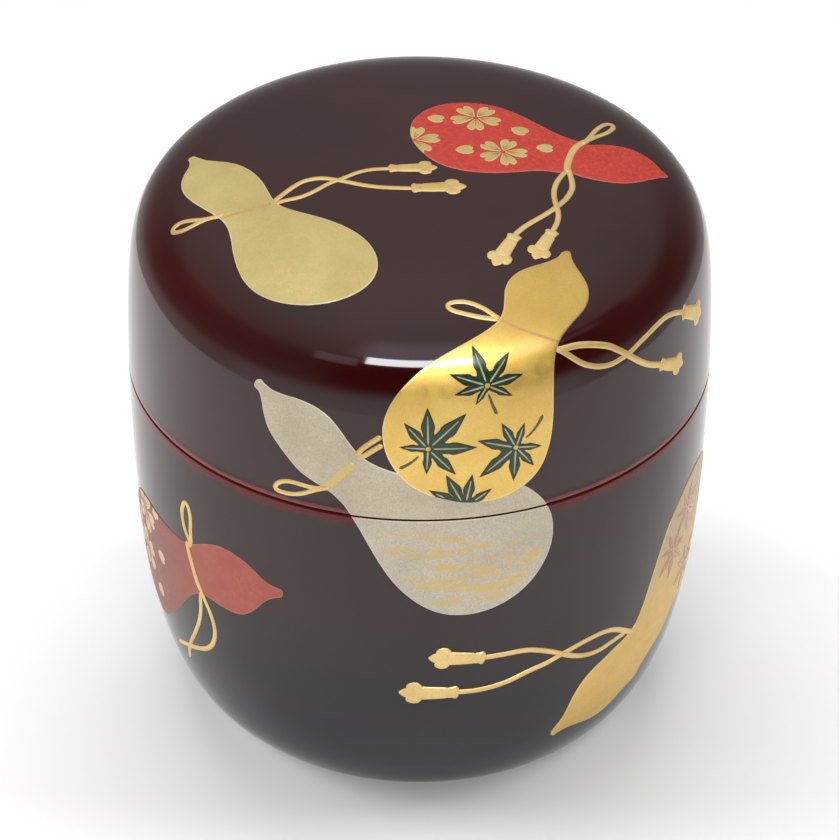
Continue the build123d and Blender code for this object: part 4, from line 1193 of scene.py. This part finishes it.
# ---------------------------------------------------------------- cords and loops
# routes over the surface: (mm along the profile, degrees round from the front)
ROUTES = {
    "pale_a": [(18.75, -60.70), (16.40, -64.03), (14.00, -67.78), (12.10, -66.45), (10.85, -61.94), (9.85, -54.47), (8.80, -41.92), (7.90, -27.93), (7.20, -6.37)],
    "pale_b": [(18.65, -60.02), (17.05, -59.55), (15.60, -57.81), (13.80, -57.62), (11.80, -59.39), (9.70, -59.56), (7.85, -60.47), (6.25, -57.56), (4.65, -45.95)],
    "pale_loop": [(23.60, -65.36), (24.30, -65.85), (25.80, -67.70), (27.05, -70.05), (28.15, -71.47), (29.10, -71.40), (29.30, -70.09), (28.25, -68.38), (26.85, -67.74), (25.65, -67.26), (24.25, -65.85), (23.50, -65.36)],
    "red_over": [(19.25, 103.98), (18.70, 102.90), (17.80, 100.52), (16.95, 96.10), (16.40, 90.01), (16.25, 84.01), (16.50, 80.59)],
    "red_loop": [(18.40, 102.28), (19.35, 104.96), (20.75, 110.01), (22.50, 113.90), (23.65, 114.47), (23.50, 112.27), (22.15, 109.12), (20.65, 106.88), (19.35, 104.31), (18.40, 101.60)],
    "red_left": [(16.35, 82.64), (16.00, 79.20), (15.70, 71.73), (16.15, 64.66), (17.15, 59.11), (18.40, 54.82), (19.35, 50.15), (20.00, 45.70)],
    "red_right": [(16.35, 83.72), (17.00, 77.34), (17.60, 71.18), (17.75, 64.50), (17.65, 57.63), (17.55, 51.22), (17.50, 45.27), (17.65, 39.60), (18.25, 33.89)],
    "maple_up": [(33.30, 27.73), (33.40, 30.05), (33.50, 32.67), (34.05, 36.08), (34.90, 39.51), (35.80, 41.58), (36.85, 43.74), (38.30, 46.51), (39.65, 49.55), (40.95, 53.93)],
    "maple_low": [(32.95, 27.45), (33.45, 28.68), (34.30, 30.37), (35.25, 32.12), (36.00, 33.93), (36.75, 36.71), (37.10, 39.67), (37.00, 42.07), (36.90, 44.17), (36.45, 46.89), (36.10, 49.76), (35.80, 52.86), (35.70, 56.16), (36.15, 59.52), (37.15, 63.25)],
    "maple_loop": [(28.65, 17.69), (28.15, 16.59), (27.45, 15.34), (26.75, 13.57), (26.2, 11.42), (26.0, 9.59), (26.05, 7.67), (26.3, 6.61), (26.75, 6.79), (27.15, 8.07), (27.55, 10.22), (28.05, 13.0), (28.45, 15.53), (28.7, 17.43)],
    "maple_waist": [(28.8, 17.71), (29.7, 19.81), (30.55, 22.26), (31.4, 25.1), (32.0, 27.03), (32.45, 28.36)],
    "pale_waist": [(24.5, -64.66), (23.2, -63.6), (21.0, -62.17), (19.7, -61.14), (18.65, -60.74)],
    "silver_loop": [(48.80, -16.71), (49.10, -18.28), (49.30, -20.24), (49.25, -21.98), (49.20, -23.56), (49.25, -25.14), (49.65, -26.84), (50.25, -27.79), (50.70, -27.86), (50.90, -27.07), (50.90, -25.65), (50.75, -23.97), (50.30, -21.99), (49.65, -20.06), (49.15, -18.28), (48.80, -16.71)],
    "silver_end_a": [(44.25, -11.70), (43.35, -10.76), (42.50, -9.26), (41.45, -7.01), (40.70, -4.97)],
    "silver_end_b": [(44.40, -11.70), (44.10, -10.19), (43.35, -8.68), (42.60, -7.00), (41.95, -4.95)],
    "silver_tie": [(48.9, -17.3), (47.6, -15.6), (46.4, -13.9), (45.2, -12.2)],
    "reds_loop": [(64.80, -50.73), (64.25, -50.80), (63.30, -52.08), (61.75, -52.84), (60.30, -52.81), (59.10, -51.79), (59.30, -50.70), (60.65, -50.12), (62.70, -50.44), (64.00, -50.39), (65.00, -50.83)],
    "reds_tie": [(64.45, -51.73), (65.25, -51.54), (66.85, -50.80), (68.55, -49.92), (69.90, -48.98), (70.70, -48.08)],
    "reds_left": [(70.50, -48.35), (71.80, -49.03), (73.55, -49.25), (75.95, -50.56), (78.70, -53.14), (80.60, -55.32), (82.55, -57.17), (84.35, -58.42)],
    "reds_right": [(70.45, -48.28), (71.40, -47.86), (72.80, -46.46), (74.60, -45.48), (76.15, -45.58), (78.00, -46.79), (79.70, -49.50), (80.95, -53.45), (82.25, -58.35), (83.35, -62.28)],
    "gold_c1": [(76.70, 49.77), (75.60, 47.02), (74.30, 43.63), (73.70, 40.04), (73.75, 35.88), (74.05, 32.43), (74.45, 29.55), (75.00, 26.36), (75.45, 22.49), (76.25, 18.73), (76.70, 15.01), (76.90, 11.73), (76.85, 8.08)],
    "gold_c2": [(75.95, 47.28), (75.95, 45.12), (76.10, 42.55), (76.30, 40.14), (76.15, 37.28), (75.55, 34.00), (74.50, 30.81), (73.30, 27.35), (72.25, 23.28), (72.00, 20.23), (72.00, 16.51), (72.00, 13.15)],
}
# (width mm, level along the path)
FLAT = [(0, 0), (1, 0)]
CORDS = {
    "pale_a": (0.66, [(0, 0), (0.28, 0.0), (0.40, 0.05), (0.52, 0.0), (1, 0)]),
    "pale_b": (0.60, FLAT),
    "pale_loop": (0.60, [(0, 0.02), (0.12, 0), (0.85, 0.0), (1, 0.04)]),
    "red_over": (0.80, [(0, 0.06), (0.2, 0.10), (0.85, 0.10), (1, 0.04)]),
    "red_loop": (0.58, [(0, 0.10), (0.2, 0.0), (0.85, 0.0), (1, 0.12)]),
    "red_left": (0.62, [(0, 0.02), (0.45, 0.0), (0.58, 0.06), (0.72, 0.0), (1, 0)]),
    "red_right": (0.66, [(0, 0.06), (0.1, 0.0), (1, 0)]),
    "maple_up": (0.72, [(0, 0), (0.58, 0.0), (0.68, 0.06), (0.8, 0.0), (1, 0)]),
    "maple_low": (0.62, FLAT),
    "maple_loop": (0.55, FLAT),
    "silver_loop": (0.55, [(0, 0.05), (0.1, 0.0), (0.88, 0.0), (1, 0.08)]),
    "silver_end_a": (0.62, FLAT),
    "silver_end_b": (0.62, [(0, 0.05), (0.3, 0.0), (1, 0)]),
    "reds_loop": (0.58, [(0, 0.05), (0.1, 0.0), (0.9, 0.0), (1, 0.08)]),
    "reds_tie": (0.66, [(0, 0.02), (0.1, 0.10), (0.9, 0.10), (1, 0.02)]),
    "reds_left": (0.55, FLAT),
    "reds_right": (0.62, [(0, 0.04), (0.1, 0.0), (0.68, 0.0), (0.78, 0.05), (0.9, 0), (1, 0)]),
    "gold_c1": (0.70, FLAT),
    "gold_c2": (0.70, [(0, 0), (0.36, 0.0), (0.46, 0.06), (0.58, 0.0), (1, 0)]),
}
# the cords' ends: start (s, turn), tip (s, turn)
TASSELS = {
    "pale_a": (7.20, -7.66, 8.30, 37.57),
    "pale_b": (4.75, -47.35, 3.50, 31.47),
    "red_left": (19.95, 46.21, 22.40, 33.40),
    "red_right": (18.25, 34.35, 21.85, 21.38),
    "maple_up": (40.75, 53.26, 43.15, 61.48),
    "maple_low": (37.00, 62.63, 40.10, 71.80),
    "gold_c1": (76.85, 8.37, 76.70, -4.01),
    "gold_c2": (72.00, 13.45, 71.40, 2.18),
}


def mirrored(half):
    half = np.array(half, float)
    return np.vstack([half, half[::-1] * [1, -1]])


def tassel(parts, row, side):
    """A knotted tassel: a flared collar, a bound skirt and a three-lobed fringe."""
    s0, t0, s1, t1 = row
    end = flat_place(s0, t0, surface_point(np.array([s1]), np.array([t1])))[0]
    size = min(6.7, max(5.4, math.hypot(*end)))
    h = math.atan2(end[1], end[0])
    turn = np.array([[math.cos(h), math.sin(h)], [-math.sin(h), math.cos(h)]])

    def lay_on(half, height, level, width=0.55, edge=0.03, spacing=0.28, rings=(0.08, 0.18, 0.30, 0.44)):
        loop = closed((mirrored(half) * size) @ turn, 0.15)
        outline_relief(parts, (s0, t0), loop, height, side, spacing=spacing, edge=edge, width=width,
                       level=lambda q: np.full(len(q), level), rings=rings)

    # middle lobe, two side lobes, skirt, collar
    lay_on([(0.66, 0.0), (0.67, 0.07), (0.74, 0.11), (0.84, 0.125), (0.92, 0.09), (0.985, 0.03), (1.0, 0.0)], 0.13, 0.0)
    for sign in (1, -1):
        lobe = np.array([(0.66, 0.03), (0.61, 0.10), (0.62, 0.18), (0.68, 0.235), (0.76, 0.245), (0.84, 0.215),
                         (0.88, 0.16), (0.86, 0.09), (0.80, 0.05), (0.73, 0.03)]) * [1, sign]
        loop = closed((lobe * size) @ turn, 0.15)
        if sign < 0:
            loop = loop[::-1]
        outline_relief(parts, (s0, t0), loop, 0.14, side, spacing=0.28, edge=0.03, width=0.5,
                       level=lambda q: np.full(len(q), 0.0), rings=(0.08, 0.18, 0.30))
    lay_on([(0.15, 0.0), (0.155, 0.110), (0.24, 0.128), (0.36, 0.135), (0.50, 0.142), (0.60, 0.150), (0.66, 0.13),
            (0.70, 0.07), (0.71, 0.0)], 0.16, 0.0)
    lay_on([(-0.01, 0.0), (0.0, 0.09), (0.03, 0.145), (0.075, 0.142), (0.11, 0.118), (0.16, 0.125), (0.19, 0.10),
            (0.20, 0.0)], 0.17, 0.0, width=0.45)


LID_SETS = {
    "cords_pale_gold": ["pale_b", "pale_a", "pale_loop"],
    "cords_red_blossom": ["red_right", "red_left", "red_loop", "red_over"],
    "cords_gold_maple": ["maple_low", "maple_up", "maple_loop"],
    "cords_silver": ["silver_end_a", "silver_end_b", "silver_loop"],
}
BODY_SETS = {
    "cords_red_side": ["reds_left", "reds_right", "reds_loop", "reds_tie"],
    "cords_gold_side": ["gold_c1", "gold_c2"],
}
for sets, side, body in ((LID_SETS, "lid", "lid"), (BODY_SETS, "body", "caddy")):
    for piece, names in sets.items():
        parts, ends = Parts(), Parts()
        for name in names:
            width, level = CORDS[name]
            p, s, n = route(ROUTES[name])
            if name.startswith("silver_end"):
                flat = flat_place(*AT["gold_maple"], p)
                keep = ~inside(OUT["gold_maple"], flat)
                keep[np.argmax(~keep):] = False
                if (~keep).any():
                    p, s, n = p[keep], s[keep], n[keep]
            band(parts, p, s, n, width, 0.11, side, level=bumps(len(p), level))
            if name in TASSELS:
                tassel(ends, TASSELS[name], side)
        ob = parts.make(piece, CORD_GOLD)
        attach(ob, body)
        if ends.count:
            ob = ends.make(piece.replace("cords", "tassels"), CORD_GOLD)
            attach(ob, body)

for name, key, tall, edge in (("maple_waist", "gold_maple", UPPER, 0.085), ("pale_waist", "pale_gold", HIGH, 0.035)):
    parts = Parts()
    p, s, n = route(ROUTES[name])
    flat = flat_place(*AT[key], p)
    ok = inside(OUT[key], flat)
    first, last = int(np.argmax(ok)), len(ok) - int(np.argmax(ok[::-1]))
    p, s, n, flat = p[first:last], s[first:last], n[first:last], flat[first:last]
    band(parts, p, s, n, 0.34, 0.025, "lid", level=gourd_level(key, tall, edge)(flat), bottom=0.03, across=5)
    ob = parts.make("waist_tie_" + key, WAIST_LINE)
    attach(ob, "lid")

parts = Parts()
p, s, n = route(ROUTES["silver_tie"])
band(parts, p, s, n, 0.85, 0.03, "lid", level=0.078, bottom=0.03)
ob = parts.make("silver_gourd_tie", WORN_BAND)
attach(ob, "lid")

# ================================================================ floor
floor_mesh = bpy.data.meshes.new("floor")
seg, radii = 96, [0.0, 0.03, 0.06, 0.09, 0.12, 0.165]
fv = [(0.0, 0.0, 0.0)]
for r in radii[1:]:
    fv += [(r * math.cos(2 * math.pi * i / seg), r * math.sin(2 * math.pi * i / seg), 0.0) for i in range(seg)]
ff = [(0, 1 + i, 1 + (i + 1) % seg) for i in range(seg)]
for k in range(len(radii) - 2):
    a, b = 1 + k * seg, 1 + (k + 1) * seg
    ff += [(a + i, b + i, b + (i + 1) % seg, a + (i + 1) % seg) for i in range(seg)]
floor_mesh.from_pydata([(x, y, z - 0.00002) for x, y, z in fv], [], ff)
floor = bpy.data.objects.new("floor", floor_mesh)
scene.collection.objects.link(floor)
floor_mat, nt, bsdf = tree("pale_floor")
n_ = noise(nt, millimetres(nt), 0.02, 2.0)
nt.links.new(ramp(nt, n_, [(0.3, (0.90, 0.90, 0.90)), (0.7, (0.92, 0.92, 0.92))]), bsdf.inputs["Base Color"])
bsdf.inputs["Roughness"].default_value = 1.0
bsdf.inputs["Specular IOR Level"].default_value = 0.0
floor.data.materials.append(floor_mat)

# ================================================================ light
world = bpy.data.worlds.new("studio")
scene.world = world
world.use_nodes = True
nt = world.node_tree
nt.nodes.clear()
out = nt.nodes.new("ShaderNodeOutputWorld")
back = nt.nodes.new("ShaderNodeBackground")
nt.links.new(back.outputs[0], out.inputs["Surface"])
tc = nt.nodes.new("ShaderNodeTexCoord")
x, y, z = separate(nt, tc.outputs["Generated"])
dome = ramp(nt, span(nt, z, -1.0, 1.0, 0.0, 1.0, smooth=False),
            [((e + 1) / 2, (v, v, v)) for e, v in
             ((-1.0, 0.70), (-0.42, 0.66), (-0.28, 0.50), (-0.15, 0.40), (0.0, 0.30), (0.17, 0.28), (0.34, 0.36), (0.50, 0.47), (0.64, 0.56),
              (0.77, 0.70), (0.87, 0.84), (1.0, 0.95))])
azimuth = math_node(nt, "ARCTAN2", x, math_node(nt, "MULTIPLY", y, -1.0))
height_ = math_node(nt, "ARCSINE", z)
wide = math_node(nt, "ABSOLUTE", azimuth)
# a darker belt round the horizon, darkest in front
cover = ramp(nt, span(nt, azimuth, -math.pi, math.pi, 0.0, 1.0, smooth=False),
             [((e + 180) / 360, (v, v, v)) for e, v in
              ((-180, 0.0), (-150, 0.15), (-120, 0.58), (-85, 0.52), (-62, 0.42), (-44, 0.42), (-27, 0.88), (0, 0.95),
               (40, 0.92), (60, 0.86), (90, 0.74), (120, 0.62), (150, 0.15), (180, 0.0))])
right_side = math_node(nt, "MULTIPLY", span(nt, azimuth, math.radians(42), math.radians(55), 0.0, 1.0),
                       span(nt, azimuth, math.radians(85), math.radians(100), 1.0, 0.0))
belt = math_node(nt, "MULTIPLY", span(nt, height_, math.radians(-17), math.radians(-6), 0.0, 1.0),
                 mix(nt, right_side, span(nt, height_, math.radians(17), math.radians(31), 1.0, 0.0),
                     span(nt, height_, math.radians(26), math.radians(33), 1.0, 0.0)))
dark = math_node(nt, "SUBTRACT", 1.0, math_node(nt, "MULTIPLY", cover, belt))
dim = mix(nt, 1.0, dome, dark, "MULTIPLY")
box = math_node(nt, "MULTIPLY",
                span(nt, azimuth, math.radians(-21.5), math.radians(-20.0), 0.0, 1.0),
                math_node(nt, "MULTIPLY", span(nt, azimuth, math.radians(21.0), math.radians(23.0), 1.0, 0.0),
                          math_node(nt, "MULTIPLY", span(nt, height_, math.radians(21.8), math.radians(23.4), 0.0, 1.0),
                                    span(nt, height_, math.radians(31.0), math.radians(32.6), 1.0, 0.0))))
glow = math_node(nt, "MULTIPLY",
                 span(nt, wide, math.radians(14.0), math.radians(34.0), 1.0, 0.0),
                 math_node(nt, "MULTIPLY", span(nt, height_, math.radians(28), math.radians(34), 0.0, 1.0),
                           span(nt, height_, math.radians(40), math.radians(66), 1.0, 0.0)))
side_glow = math_node(nt, "MULTIPLY",
                      span(nt, azimuth, math.radians(20.0), math.radians(26.0), 0.0, 1.0),
                      math_node(nt, "MULTIPLY", span(nt, azimuth, math.radians(48.0), math.radians(60.0), 1.0, 0.0),
                                math_node(nt, "MULTIPLY", span(nt, height_, math.radians(20), math.radians(26), 0.0, 1.0),
                                          span(nt, height_, math.radians(34), math.radians(46), 1.0, 0.0))))


def patch(az_in, az_out, el_in, el_out):
    """A soft-edged area of the studio, in degrees."""
    sides = [span(nt, value, math.radians(lo), math.radians(hi), first, 1.0 - first)
             for value, (lo, hi), first in ((azimuth, az_in, 0.0), (azimuth, az_out, 1.0), (height_, el_in, 0.0), (height_, el_out, 1.0))]
    return math_node(nt, "MULTIPLY", math_node(nt, "MULTIPLY", sides[0], sides[1]),
                     math_node(nt, "MULTIPLY", sides[2], sides[3]))


tail = patch((50, 58), (70, 80), (21.5, 23.5), (26, 28.5))
ghost = patch((-43, -38), (-25, -22.5), (16, 19), (26, 29))
sweep = patch((-84, -58), (52, 76), (-60, -50), (-18, -11))      # the table goes on in front
light_ = mix(nt, 1.0, dim, mix(nt, glow, (0.0, 0.0, 0.0), (0.85, 0.95, 1.25)), "ADD")
light_ = mix(nt, 1.0, light_, mix(nt, side_glow, (0.0, 0.0, 0.0), (2.6, 2.6, 2.7)), "ADD")
light_ = mix(nt, 1.0, light_, mix(nt, tail, (0.0, 0.0, 0.0), (0.24, 0.28, 0.42)), "ADD")
light_ = mix(nt, 1.0, light_, mix(nt, sweep, (0.0, 0.0, 0.0), (0.34, 0.33, 0.34)), "ADD")
light_ = mix(nt, 1.0, light_, mix(nt, ghost, (0.0, 0.0, 0.0), (0.75, 0.72, 0.85)), "ADD")
light_ = mix(nt, 1.0, light_, mix(nt, box, (0.0, 0.0, 0.0), (18.0, 18.3, 19.0)), "ADD")
path = nt.nodes.new("ShaderNodeLightPath")
nt.links.new(mix(nt, path.outputs["Is Camera Ray"], light_, (1.0, 1.0, 1.0)), back.inputs["Color"])
back.inputs["Strength"].default_value = 1.0
world.cycles_visibility.diffuse = False      # the soft boxes below do the shading

def soft_light(name, place, wide, tall, energy):
    """A soft box that faces the object. It shapes the shade and the shadow, not the gloss."""
    lamp = bpy.data.lights.new(name, "AREA")
    lamp.shape = "RECTANGLE"
    lamp.size = wide
    lamp.size_y = tall
    lamp.energy = energy
    ob = bpy.data.objects.new(name, lamp)
    scene.collection.objects.link(ob)
    ob.location = place
    ob.rotation_euler = (Vector((0.0, 0.0, 0.02)) - Vector(place)).to_track_quat("-Z", "Y").to_euler()
    ob.visible_glossy = False


soft_light("overhead", (-0.020, 0.120, 0.462), 0.34, 0.36, 1.42)
soft_light("left_side", (-0.438, 0.040, 0.188), 0.28, 0.40, 2.18)
soft_light("right_side", (0.413, 0.040, 0.240), 0.256, 0.55, 1.74)
soft_light("front_fill", (-0.040, -0.430, 0.235), 0.40, 0.15, 1.18)

# ================================================================ camera
DIST, TILT, ROLL = 0.500, 0.61033, 0.00696
target = Vector((0.0, 0.0, (HEIGHT - 35.0) * MM))
place = target + Vector((0.0, -DIST * math.cos(TILT), DIST * math.sin(TILT)))
ahead = Vector((0.0, math.cos(TILT), -math.sin(TILT)))
right = Vector((1.0, 0.0, 0.0))
up = right.cross(ahead)
right2 = right * math.cos(ROLL) + up * math.sin(ROLL)
up2 = up * math.cos(ROLL) - right * math.sin(ROLL)
cam = bpy.data.cameras.new("camera")
cam.sensor_width = 36.0
cam.sensor_fit = "HORIZONTAL"
cam.lens = 8.70164 * 500.0 * 36.0 / 840.0
cam.shift_x = 0.00147
cam.shift_y = -0.00848
cam.clip_start = 0.01
cam.clip_end = 20.0
cam.dof.use_dof = False
cam_ob = bpy.data.objects.new("camera", cam)
scene.collection.objects.link(cam_ob)
rot = Matrix((right2, up2, -ahead)).transposed()
cam_ob.matrix_world = Matrix.Translation(place) @ rot.to_4x4()
scene.camera = cam_ob
scene.view_settings.view_transform = "Standard"
scene.view_settings.look = "None"
